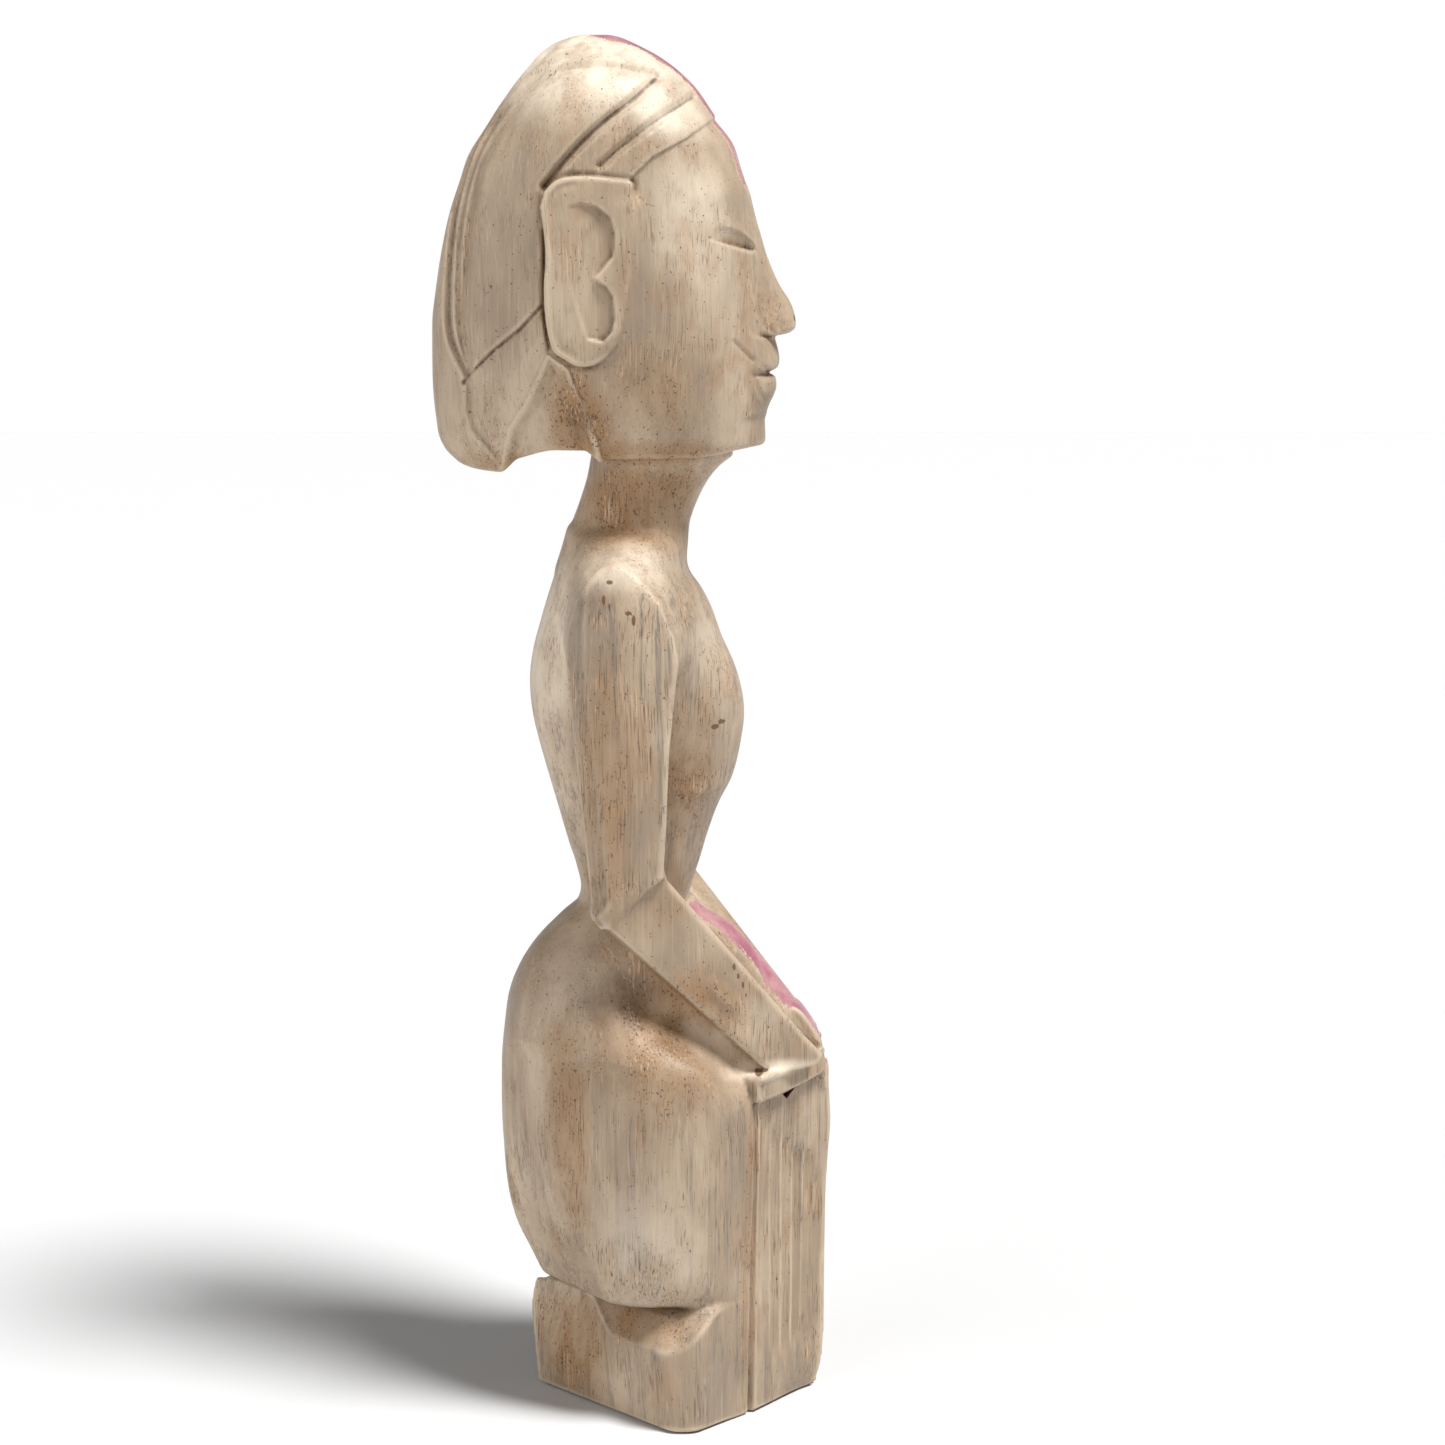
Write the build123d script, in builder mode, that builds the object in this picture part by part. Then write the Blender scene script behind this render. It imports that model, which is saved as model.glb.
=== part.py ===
"""Kneeling doll carved from one block of pale wood, split into its carved forms.

The figure faces -Y and its right hand is on the -X side. The origin is in the middle of the flat
underside, +Z runs up the grain. All sizes are in millimetres. Every piece meets its neighbours face to
face: a later piece gives way to the earlier ones that it lies against.
"""

from build123d import *
from math import cos, radians, sin
import os

os.makedirs("parts", exist_ok=True)

# ---------------------------------------------------------------- heights, stacked from the ground up
base_height = 46.0  # underside to the crease below the skirt
skirt_height = 144.0  # crease to the waist
torso_height = 129.0  # waist to the top of the shoulders
neck_height = 33.0  # shoulders to the jaw
head_height = 148.5  # jaw to the crown

crease_z = base_height
waist_z = crease_z + skirt_height
shoulder_z = waist_z + torso_height
jaw_z = shoulder_z + neck_height
crown_z = jaw_z + head_height

# ---------------------------------------------------------------- base
base_half_width = 50.0  # out to the blunt side corners
base_back = 54.0  # reach of the back corner at the underside
base_setback = 2.0  # the base's front corner lies this far behind the lap's
base_lean = 7.0  # how much further in the back corner is at the crease
corner_flat = 11.0  # length of the worn flat on each corner
side_corner = 4.0  # how far in front of the middle the side corners start
notch_height = 13.0  # bevel between the base and the skirt's hem
notch_depth = 7.0

# ---------------------------------------------------------------- skirt
hip_half_width = 52.0
hip_back = 60.0
lap_front = 47.0  # reach of the skirt behind the pleats
hem_half_width = 47.0
hem_back = 47.0
waist_half_width = 27.0
waist_back = 31.0
waist_front = 11.0

# ---------------------------------------------------------------- torso and neck
torso_middle = 10.0  # the torso is widest this far behind the middle
chest_half_width = 37.0
chest_back = 48.5
chest_front = 29.5
torso_waist_half_width = 21.0
torso_waist_back = 29.0
torso_waist_front = 9.5
shoulder_half_width = 40.0
shoulder_back = 37.0
shoulder_front = 8.5
neck_half_width = 19.0
neck_back = 26.0  # reach of the neck at the jaw
neck_front = 17.0

# ---------------------------------------------------------------- head and hair
head_middle = 18.0  # the head is widest this far behind the middle
head_half_width = 41.0
jaw_half_width = 27.0
face_front = 39.0
forehead_front = 31.0
hair_back = 82.5
nape_back = 76.0
crown_half_width = 13.0
crown_half_depth = 10.0
crown_back = 23.0  # the crown's middle lies this far behind the figure's middle
nose_front = 47.0
nose_length = 32.0
nose_half_width = 8.0
nose_rise = 44.0  # jaw to the underside of the nose
ear_drop = 49.0  # crown to the ear's top edge
ear_height = 65.0
ear_width = 25.0
ear_back = 42.0  # reach of the ear's back edge
ear_thickness = 5.0  # how far the ear stands out past the head's widest place

# ---------------------------------------------------------------- arms
arm_span = 101.0  # across both upper arms
arm_thickness = 17.0
arm_edge = 3.0  # knife-cut bevel along the arm's outer edges
arm_back = 34.0  # reach of the arm's back edge at the shoulder
arm_front = 2.0  # reach of its front edge
arm_slope = 9.0  # the arm's back edge runs forward by this much down to the elbow
elbow_drop = 2.0  # waist to the point of the elbow
elbow_bend = 18.0  # point of the elbow to the inside of the bend, upwards
wrist_reach = 3.0  # how far the wrist reaches past the lap
wrist_rise = 11.0  # edge of the lap up to the upper edge of the wrist
wrist_depth = 22.0  # thickness of the wrist seen from the side
wrist_gap = 13.0  # between the two wrists

# ---------------------------------------------------------------- pleats, hands and sash
pleat_proud = 10.0  # how far the panels' front edges stand in front of the lap
pleat_gap = 10.0  # between the two panels, filled by the sash tail
pleat_width = 36.0
pleat_angle = 43.0  # between the panel and the figure's front
pleat_inside = 14.0  # more than the panel's thickness; the skirt takes away the rest
flute_count = 5
flute_radius = 2.2
flute_bottom = 16.0
flute_margin = 21.0  # the flutes end this far below the hand
hand_drop = 20.0  # edge of the lap down to the hand's lower edge, at its outer end
hand_tilt = 12.0  # how much the hand rises along its length
hand_height = 10.0
hand_proud = 3.0  # how far the hand stands out from the pleats
sash_width = 24.0
sash_thickness = 5.0
tail_proud = 14.5  # how far the sash tail stands in front of the lap
tail_bottom = 55.0


def body_section(height, back, front, half_width, middle):
    """Oval outline at a height. It is widest at the given distance behind the figure's middle."""
    with BuildSketch(Plane.XY.offset(height)) as section:
        with BuildLine():
            center = (0, middle)
            EllipticalCenterArc(center, half_width, back - middle, 0, arc_size=90)
            EllipticalCenterArc(center, half_width, back - middle, 90, arc_size=90)
            EllipticalCenterArc(center, half_width, front + middle, 180, arc_size=90)
            EllipticalCenterArc(center, half_width, front + middle, 270, arc_size=90)
        make_face()
    return section.sketch


def log_section(height, back, front, half_width):
    """Outline of the squared log at a height: four long faces with a blunt corner between each two."""
    flat = corner_flat / 2
    with BuildSketch(Plane.XY.offset(height)) as section:
        with BuildLine():
            Polyline(
                (0, back),
                (flat, back),
                (half_width, -side_corner),
                (half_width, -side_corner - corner_flat),
                (flat, -front),
                (0, -front),
            )
            mirror(about=Plane.YZ)
        make_face()
    return section.sketch


def skirt_section(height, back, front, half_width):
    """Outline of the skirt at a height: round behind, squared like the log in front."""
    flat = corner_flat / 2
    blunt = min(corner_flat, front / 3)
    with BuildSketch(Plane.XY.offset(height)) as section:
        with BuildLine():
            center = (0, -side_corner)
            EllipticalCenterArc(center, half_width, back + side_corner, 0, arc_size=90)
            EllipticalCenterArc(center, half_width, back + side_corner, 90, arc_size=90)
            Polyline(
                (-half_width, -side_corner),
                (-half_width, -side_corner - blunt),
                (-flat, -front),
                (flat, -front),
                (half_width, -side_corner - blunt),
                (half_width, -side_corner),
            )
        make_face()
    return section.sketch


# ---------------------------------------------------------------- base block
with BuildPart() as base_block:
    loft(
        [
            log_section(0, base_back, lap_front - base_setback, base_half_width),
            log_section(crease_z, base_back - base_lean, lap_front - base_setback, base_half_width),
        ],
        ruled=True,
    )
    crease_edges = base_block.faces().sort_by(Axis.Z)[-1].edges()
    rear_edges = crease_edges.filter_by(lambda edge: edge.center().Y > -side_corner - corner_flat)
    chamfer(rear_edges, notch_height, notch_depth)
base_block.part.label = "base_block"
export_step(base_block.part, "parts/base_block.step")


# ---------------------------------------------------------------- skirt: hips, thighs and lap
def skirt_z(share):
    """Height at a share of the way from the crease to the waist."""
    return crease_z + share * skirt_height


lap_z = skirt_z(0.63)  # the edge of the lap, where the sash turns down

with BuildPart() as skirt:
    loft(
        [
            skirt_section(skirt_z(0.00), hem_back, lap_front, hem_half_width),
            skirt_section(skirt_z(0.18), hip_back - 3, lap_front, hip_half_width - 1),
            skirt_section(skirt_z(0.45), hip_back, lap_front, hip_half_width),
            skirt_section(lap_z, hip_back - 1, lap_front, hip_half_width - 1),
            skirt_section(
                skirt_z(0.80), hip_back - 6, (lap_front + waist_front) / 2 + 4, hip_half_width - 5
            ),
            skirt_section(skirt_z(0.92), waist_back + 11, waist_front + 9, waist_half_width + 11),
            skirt_section(skirt_z(1.00), waist_back, waist_front, waist_half_width),
        ]
    )
skirt.part.label = "skirt"
export_step(skirt.part, "parts/skirt.step")


# ---------------------------------------------------------------- torso
def torso_z(share):
    """Height at a share of the way from the waist to the shoulders."""
    return waist_z + share * torso_height


with BuildPart() as torso:
    loft(
        [
            body_section(
                torso_z(0.00), torso_waist_back, torso_waist_front, torso_waist_half_width, torso_middle
            ),
            body_section(
                torso_z(0.20), torso_waist_back + 7,
                torso_waist_front + 8, torso_waist_half_width + 2, torso_middle
            ),
            body_section(torso_z(0.56), chest_back, chest_front, chest_half_width, torso_middle),
            body_section(
                torso_z(0.85), shoulder_back + 6, shoulder_front + 8, shoulder_half_width, torso_middle
            ),
            body_section(
                torso_z(1.00), shoulder_back, shoulder_front, shoulder_half_width - 4, torso_middle
            ),
        ]
    )
torso.part.label = "torso"
export_step(torso.part, "parts/torso.step")

# ---------------------------------------------------------------- neck, leaning forward as it rises
with BuildPart() as neck:
    loft(
        [
            body_section(
                shoulder_z, shoulder_back - 2, shoulder_front, neck_half_width + 3, torso_middle
            ),
            body_section(
                (shoulder_z + jaw_z) / 2,
                (shoulder_back + neck_back) / 2 - 2,
                (shoulder_front + neck_front) / 2,
                neck_half_width,
                torso_middle,
            ),
            body_section(jaw_z, neck_back, neck_front, neck_half_width + 1, torso_middle),
        ]
    )
neck.part.label = "neck"
export_step(neck.part, "parts/neck.step")


# ------------------------------------ head and hair, one egg split along the hairline
def head_z(share):
    """Height at a share of the way from the jaw to the crown."""
    return jaw_z + share * head_height


with BuildPart() as whole_head:
    loft(
        [
            body_section(head_z(0.00), nape_back, face_front - 2, jaw_half_width, head_middle),
            body_section(head_z(0.20), hair_back, face_front, head_half_width - 4, head_middle),
            body_section(head_z(0.42), hair_back - 2, face_front - 1, head_half_width, head_middle),
            body_section(head_z(0.65), hair_back - 10, forehead_front - 2, head_half_width, head_middle),
            body_section(
                head_z(0.83), hair_back - 24, forehead_front - 15, head_half_width - 5, head_middle
            ),
            body_section(
                head_z(0.94), hair_back - 38, forehead_front - 32, head_half_width - 14, head_middle
            ),
            body_section(
                crown_z,
                crown_back + crown_half_depth,
                crown_half_depth - crown_back,
                crown_half_width,
                crown_back,
            ),
        ]
    )

ear_top_z = crown_z - ear_drop
ear_bottom_z = ear_top_z - ear_height
ear_front_y = ear_back - ear_width

# The hairline runs from the forehead down to the ear's top, round behind the ear and down to the nape.
with BuildPart() as hair_side:
    with BuildSketch(Plane.YZ):
        with BuildLine():
            Polyline(
                (-forehead_front, head_z(0.88)),
                (-forehead_front + 15, head_z(0.80)),
                (ear_front_y, ear_top_z),
                (ear_back - 2, ear_top_z),
                (ear_back - 2, ear_bottom_z + 6),
                (neck_back + 3, ear_bottom_z),
                (neck_back + 1, head_z(0.12)),
                (neck_back - 4, jaw_z),
                (neck_back - 4, jaw_z - 10),
                (hair_back + 10, jaw_z - 10),
                (hair_back + 10, crown_z + 10),
                (-forehead_front, crown_z + 10),
                close=True,
            )
        make_face()
    extrude(amount=head_half_width + 20, both=True)

with BuildPart() as hair:
    add(whole_head.part)
    add(hair_side.part, mode=Mode.INTERSECT)
hair.part.label = "hair"
export_step(hair.part, "parts/hair.step")

nose_bottom_z = jaw_z + nose_rise
with BuildPart() as head:
    add(whole_head.part)
    add(hair_side.part, mode=Mode.SUBTRACT)
    with BuildSketch(Plane.XY.offset(nose_bottom_z)) as nostrils:
        with BuildLine():
            Polyline(
                (-nose_half_width, 10 - face_front),
                (-nose_half_width, 2 - face_front),
                (-nose_half_width / 3, -nose_front),
                (nose_half_width / 3, -nose_front),
                (nose_half_width, 2 - face_front),
                (nose_half_width, 10 - face_front),
                close=True,
            )
        make_face()
    with BuildSketch(Plane.XY.offset(nose_bottom_z + nose_length)) as bridge:
        with BuildLine():
            Polyline(
                (-nose_half_width / 2, 14 - face_front),
                (-nose_half_width / 2, 6 - face_front),
                (-nose_half_width / 4, 4 - face_front),
                (nose_half_width / 4, 4 - face_front),
                (nose_half_width / 2, 6 - face_front),
                (nose_half_width / 2, 14 - face_front),
                close=True,
            )
        make_face()
    loft(ruled=True)
head.part.label = "head"
export_step(head.part, "parts/head.step")

# ------------------------------------ ears: flat slabs with a notched front edge
with BuildPart() as ear_right:
    with BuildSketch(Plane.YZ.offset(-head_half_width - ear_thickness)):
        with BuildLine():
            Polyline(
                (ear_back, ear_top_z - 6),
                (ear_back - 6, ear_top_z),
                (ear_front_y, ear_top_z),
                (ear_front_y, ear_top_z - 0.42 * ear_height),
                (ear_front_y + 8, ear_top_z - 0.52 * ear_height),
                (ear_front_y, ear_top_z - 0.62 * ear_height),
                (ear_front_y, ear_bottom_z + 10),
                (ear_front_y + 12, ear_bottom_z),
                (ear_back - 2, ear_bottom_z + 8),
                close=True,
            )
        make_face()
    extrude(amount=ear_thickness + 14)
    add(whole_head.part, mode=Mode.SUBTRACT)
ear_right.part.label = "ear_right"
export_step(ear_right.part, "parts/ear_right.step")

with BuildPart() as ear_left:
    mirror(ear_right.part, about=Plane.YZ)
ear_left.part.label = "ear_left"
export_step(ear_left.part, "parts/ear_left.step")

# ------------------------------------ upper arms: slabs with a rounded shoulder
elbow_z = waist_z - elbow_drop
bend_z = elbow_z + elbow_bend
arm_mid_y = (arm_back - arm_front) / 2
arm_radius = (arm_back + arm_front) / 2

with BuildPart() as upper_arm_right:
    with BuildSketch(Plane.YZ.offset(arm_edge - arm_span / 2)) as arm_outline:
        with BuildLine():
            Polyline(
                (arm_back, shoulder_z - arm_radius),
                (arm_back - arm_slope, elbow_z + 12),
                (arm_back - arm_slope - 3, elbow_z),
                (-arm_front + 2, bend_z),
                (-arm_front, shoulder_z - arm_radius),
            )
            ThreePointArc(
                (-arm_front, shoulder_z - arm_radius),
                (arm_mid_y, shoulder_z),
                (arm_back, shoulder_z - arm_radius),
            )
        make_face()
    extrude(amount=arm_thickness - arm_edge)
    extrude(arm_outline.sketch, amount=-arm_edge, taper=40)
    add(torso.part, mode=Mode.SUBTRACT)
    add(skirt.part, mode=Mode.SUBTRACT)
upper_arm_right.part.label = "upper_arm_right"
export_step(upper_arm_right.part, "parts/upper_arm_right.step")

with BuildPart() as upper_arm_left:
    mirror(upper_arm_right.part, about=Plane.YZ)
upper_arm_left.part.label = "upper_arm_left"
export_step(upper_arm_left.part, "parts/upper_arm_left.step")

# ------------------------------------ forearms: from the elbow in to the wrist
wrist_z = lap_z + wrist_rise
wrist_front = lap_front + wrist_reach
elbow_y = arm_back - arm_slope - 3

with BuildPart() as forearm_right:
    with BuildSketch(Plane.YZ):
        with BuildLine():
            Polyline(
                (elbow_y, elbow_z),
                (-arm_front + 2, bend_z),
                (-wrist_front, wrist_z),
                (-wrist_front + wrist_depth / 2, wrist_z - wrist_depth * 0.7),
                close=True,
            )
        make_face()
    extrude(amount=-arm_span / 2)
    with BuildSketch(Plane.XY):
        with BuildLine():
            Polyline(
                (-arm_span / 2, elbow_y),
                (-wrist_gap / 2 - arm_thickness, -wrist_front),
                (-wrist_gap / 2, -wrist_front),
                (-arm_span / 2 + arm_thickness, elbow_y),
                close=True,
            )
        make_face()
    extrude(amount=shoulder_z, mode=Mode.INTERSECT)
    add(skirt.part, mode=Mode.SUBTRACT)
    add(torso.part, mode=Mode.SUBTRACT)
forearm_right.part.label = "forearm_right"
export_step(forearm_right.part, "parts/forearm_right.step")

with BuildPart() as forearm_left:
    mirror(forearm_right.part, about=Plane.YZ)
forearm_left.part.label = "forearm_left"
export_step(forearm_left.part, "parts/forearm_left.step")

# ------------------------------------ the outer plane of the right pleated panel
pleat_front = lap_front + pleat_proud
across = pleat_width * cos(radians(pleat_angle))
forward = pleat_width * sin(radians(pleat_angle))
pleat_plane = Plane(
    origin=(-pleat_gap / 2 - across, forward - pleat_front, 0),
    x_dir=(across, -forward, 0),
    z_dir=(-forward, -across, 0),
)
hand_z = lap_z - hand_drop

# ------------------------------------ hands: bands of folded fingers on the pleats
with BuildPart() as hand_right:
    with BuildSketch(pleat_plane.offset(hand_proud)):
        with BuildLine():
            Polyline(
                (0, hand_z),
                (pleat_width, hand_z + hand_tilt),
                (pleat_width, hand_z + hand_tilt + hand_height),
                (0, hand_z + hand_height),
                close=True,
            )
        make_face()
    extrude(amount=-hand_proud - pleat_inside)
    split(bisect_by=Plane.YZ.offset(-pleat_gap / 2), keep=Keep.BOTTOM)
    add(skirt.part, mode=Mode.SUBTRACT)
    add(forearm_right.part, mode=Mode.SUBTRACT)
hand_right.part.label = "hand_right"
export_step(hand_right.part, "parts/hand_right.step")

with BuildPart() as hand_left:
    mirror(hand_right.part, about=Plane.YZ)
hand_left.part.label = "hand_left"
export_step(hand_left.part, "parts/hand_left.step")

# ------------------------------------ pleated panels, from the ground to the hands
with BuildPart() as pleat_panel_right:
    with BuildSketch(pleat_plane):
        with BuildLine():
            Polyline(
                (0, 0),
                (pleat_width, 0),
                (pleat_width, hand_z + hand_tilt),
                (0, hand_z),
                close=True,
            )
        make_face()
    extrude(amount=-pleat_inside)
    with BuildSketch(pleat_plane.offset(flute_radius / 2)):
        flute_length = hand_z - flute_margin - flute_bottom
        with Locations((pleat_width / 2, flute_bottom + flute_length / 2)):
            with GridLocations(pleat_width / (flute_count + 1), 0, flute_count, 1):
                Rectangle(flute_radius, flute_length)
    extrude(amount=-flute_radius, mode=Mode.SUBTRACT)
    split(bisect_by=Plane.YZ.offset(-pleat_gap / 2), keep=Keep.BOTTOM)
    add(base_block.part, mode=Mode.SUBTRACT)
    add(skirt.part, mode=Mode.SUBTRACT)
pleat_panel_right.part.label = "pleat_panel_right"
export_step(pleat_panel_right.part, "parts/pleat_panel_right.step")

with BuildPart() as pleat_panel_left:
    mirror(pleat_panel_right.part, about=Plane.YZ)
pleat_panel_left.part.label = "pleat_panel_left"
export_step(pleat_panel_left.part, "parts/pleat_panel_left.step")

# ------------------------------------ sash: down the lap, then hanging in front
with BuildPart() as sash_lap:
    with BuildSketch(Plane.YZ):
        with BuildLine():
            Polyline(
                (-waist_front + 1, waist_z),
                (-waist_front - 9 - sash_thickness, skirt_z(0.92) + sash_thickness),
                (-(lap_front + waist_front) / 2 - 6 - sash_thickness, skirt_z(0.80)),
                (-lap_front - sash_thickness - 2, lap_z),
                (-lap_front + 14, lap_z),
                (0, skirt_z(0.80)),
                (0, waist_z),
                close=True,
            )
        make_face()
    extrude(amount=sash_width / 2, both=True)
    for neighbour in (skirt, torso, forearm_right, forearm_left, hand_right, hand_left):
        add(neighbour.part, mode=Mode.SUBTRACT)
    for neighbour in (pleat_panel_right, pleat_panel_left):
        add(neighbour.part, mode=Mode.SUBTRACT)
sash_lap.part.label = "sash_lap"
export_step(sash_lap.part, "parts/sash_lap.step")

with BuildPart() as sash_tail:
    with BuildSketch(Plane.YZ):
        with BuildLine():
            Polyline(
                (-lap_front + 4, tail_bottom),
                (-lap_front - tail_proud + 1, tail_bottom),
                (-lap_front - tail_proud, (tail_bottom + lap_z) / 2),
                (-lap_front - sash_thickness - 2, lap_z),
                (-lap_front + 4, lap_z),
                close=True,
            )
        make_face()
    extrude(amount=pleat_gap / 2, both=True)
    for neighbour in (skirt, hand_right, hand_left, pleat_panel_right, pleat_panel_left):
        add(neighbour.part, mode=Mode.SUBTRACT)
sash_tail.part.label = "sash_tail"
export_step(sash_tail.part, "parts/sash_tail.step")
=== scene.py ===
"""Kneeling wooden doll, sculpted as a distance field in millimetres and cut into its carved forms.

The figure faces -Y, and its right hand is on the -X side. In the sculpting code a point is (a, f, z):
a is the distance from the mid-plane, f is how far in front of the origin it lies and z is its height,
all in millimetres. A field is below zero inside the wood. It is made for one half and mirrored.
"""

from math import radians

import bmesh
import bpy
import numpy as np
import openvdb
from mathutils import Euler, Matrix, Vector


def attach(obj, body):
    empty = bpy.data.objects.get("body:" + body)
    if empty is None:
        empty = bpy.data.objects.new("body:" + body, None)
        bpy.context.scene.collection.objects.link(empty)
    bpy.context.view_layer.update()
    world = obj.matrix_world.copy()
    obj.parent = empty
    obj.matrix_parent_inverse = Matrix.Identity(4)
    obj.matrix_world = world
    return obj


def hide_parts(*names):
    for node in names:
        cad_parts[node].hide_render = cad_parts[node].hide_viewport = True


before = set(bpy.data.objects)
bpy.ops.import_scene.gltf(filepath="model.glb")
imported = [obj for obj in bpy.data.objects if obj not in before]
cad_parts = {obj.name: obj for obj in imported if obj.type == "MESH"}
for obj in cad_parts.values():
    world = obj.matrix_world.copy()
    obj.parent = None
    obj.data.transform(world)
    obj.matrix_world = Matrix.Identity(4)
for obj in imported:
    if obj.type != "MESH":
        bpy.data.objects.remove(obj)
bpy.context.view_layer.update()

MM = 0.001
VOXEL = 0.62
SLAB = 56  # layers of the grid that are worked out at a time
# how far from the surface the field is kept for finding folds
NEAR_REACH = 2.5
WIDE_REACH = 6
FOLD_STEP = 2  # only every second cell is used for them
# reach of the sculpting grid
HALF_WIDTH = 56.0
FRONT = 68.0
BACK = 90.0
TOP = 504.0
BOTTOM = -3.0
FLOOR_GAP = 0.3  # how far the lowest point stays above the floor


# ---- field tools
def curve(t, knots):
    """Smooth curve through (t, value) knots, read at the numbers t."""
    where = np.array([k[0] for k in knots], float)
    value = np.array([k[1] for k in knots], float)
    step = np.diff(where)
    slope = np.diff(value) / step
    tangent = np.empty_like(value)
    tangent[1:-1] = np.where(slope[:-1] * slope[1:] > 0, (slope[:-1] + slope[1:]) / 2, 0)
    tangent[0], tangent[-1] = slope[0], slope[-1]
    tangent[:-1] = np.sign(tangent[:-1]) * np.minimum(abs(tangent[:-1]), 3 * abs(slope))
    tangent[1:] = np.sign(tangent[1:]) * np.minimum(abs(tangent[1:]), 3 * abs(slope))
    t = np.clip(t, where[0], where[-1])
    i = np.clip(np.searchsorted(where, t) - 1, 0, len(step) - 1)
    u = (t - where[i]) / step[i]
    a = value[i] * (1 + 2 * u) * (1 - u) ** 2 + tangent[i] * step[i] * u * (1 - u) ** 2
    b = value[i + 1] * u**2 * (3 - 2 * u) - tangent[i + 1] * step[i] * u**2 * (1 - u)
    return a + b


def smooth_line(points, cuts=6):
    """Points along a smooth curve through the given ones."""
    t = np.arange(len(points), dtype=float)
    fine = np.linspace(0, len(points) - 1, (len(points) - 1) * cuts + 1)
    columns = zip(*points)
    return np.stack([curve(fine, list(zip(t, c))) for c in columns], axis=1)


def smax(a, b, k):
    """The larger field, rounded over k where the two meet: the overlap of two forms."""
    h = np.clip(0.5 + 0.5 * (a - b) / k, 0, 1)
    return b + (a - b) * h + k * h * (1 - h)


def smin(a, b, k):
    """The smaller field, rounded over k where the two meet: two forms joined."""
    return -smax(-a, -b, k)


def ramp(t, start, end):
    """0 before start, 1 after end, smooth between them."""
    u = np.clip((t - start) / (end - start), 0, 1)
    return u * u * (3 - 2 * u)


def oval(a, f, half, back, front, middle):
    """Field of an oval plan that is widest at f = middle, with its reach in front and behind."""
    depth = np.where(f > middle, front - middle, back + middle)
    u = a / half
    v = (f - middle) / depth
    r = np.sqrt(u * u + v * v) + 1e-6
    steep = np.sqrt((u / half) ** 2 + (v / depth) ** 2) / r + 1e-6
    return (r - 1) / steep


def line_distance(f, z, points, closed=False):
    """Distance in the side view to a line of points."""
    points = np.asarray(points, float)
    ends = np.roll(points, -1, axis=0) if closed else points[1:]
    best = np.full(np.broadcast(f, z).shape, 1e9)
    for (pf, pz), (qf, qz) in zip(points, ends):
        df, dz = qf - pf, qz - pz
        t = np.clip(((f - pf) * df + (z - pz) * dz) / (df * df + dz * dz + 1e-9), 0, 1)
        best = np.minimum(best, (f - pf - t * df) ** 2 + (z - pz - t * dz) ** 2)
    return np.sqrt(best)


def shape_distance(f, z, points):
    """Distance in the side view to a closed outline, below zero inside it."""
    points = np.asarray(points, float)
    inside = np.zeros(np.broadcast(f, z).shape, bool)
    for (pf, pz), (qf, qz) in zip(points, np.roll(points, -1, axis=0)):
        if pz == qz:
            continue
        crosses = (z >= min(pz, qz)) & (z < max(pz, qz))
        inside ^= crosses & (f < pf + (z - pz) * (qf - pf) / (qz - pz))
    distance = line_distance(f, z, points, closed=True)
    return np.where(inside, -distance, distance)


def bar_distance(a, f, z, start, end):
    """Distance to the straight line between two points."""
    start, end = np.array(start, float), np.array(end, float)
    axis = end - start
    da, df, dz = a - start[0], f - start[1], z - start[2]
    t = np.clip((da * axis[0] + df * axis[1] + dz * axis[2]) / (axis @ axis), 0, 1)
    return np.sqrt((da - t * axis[0]) ** 2 + (df - t * axis[1]) ** 2 + (dz - t * axis[2]) ** 2)


def groove(distance, width, depth):
    """How far a V-shaped knife cut moves the surface in."""
    return depth * np.clip(1 - distance / width, 0, 1)


# ---- base and skirt
# (height, reach) knots of the outlines
HIP_BACK = [
    (44, 44), (48, 46.1), (56, 50), (64, 54), (72, 56.5), (80, 58), (95, 59.3), (111, 60), (126, 59.9),
    (142, 58.6), (154, 56.7), (164, 52.6), (173, 46.6), (182, 38), (189, 31), (198, 30), (206, 31),
]
HIP_HALF = [
    (44, 44), (52, 47.5), (64, 49.5), (80, 51), (100, 51.8), (124, 51.5), (140, 50), (152, 47),
    (164, 43.5), (174, 38), (182, 31.5), (189, 25), (198, 21.5), (206, 20.5),
]
HIP_FACET = [(44, 23.5), (50, 26.5), (60, 30.5), (70, 34.5), (90, 39.5), (110, 41.5), (135, 41), (160, 34)]
BASE_BACK = [(0, 50.5), (3, 52.3), (7, 54), (13.6, 54.7), (20.4, 53.5), (31.4, 50.8), (43, 48.1), (50, 46)]
SASH_LINE = [
    (124, 58.3), (134, 57.2), (140, 54.6), (147.8, 50), (158.5, 42.5), (169.6, 33.5), (179.5, 24),
    (184, 16), (192, 9),
]
TAIL_FRONT = [
    (50, 58.5), (55, 60), (82, 60.6), (92, 61.3), (104, 62.3), (120, 60.8), (130, 59.8), (138, 57.4),
    (146, 52.2), (152, 47),
]
CREASE_Z = 44.0  # height of the crease between the skirt and the base
BASE_TOP = CREASE_Z + 3


def front_face(a, f, z):
    """The flat face between a side corner of the log and the middle of the front."""
    shift = curve(z, [(0, 0), (44, 1.2), (99, 3.6), (140, 3.0)])
    return 0.70 * (a - 49.9) + 0.714 * (f - 13.8 - shift)


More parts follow.
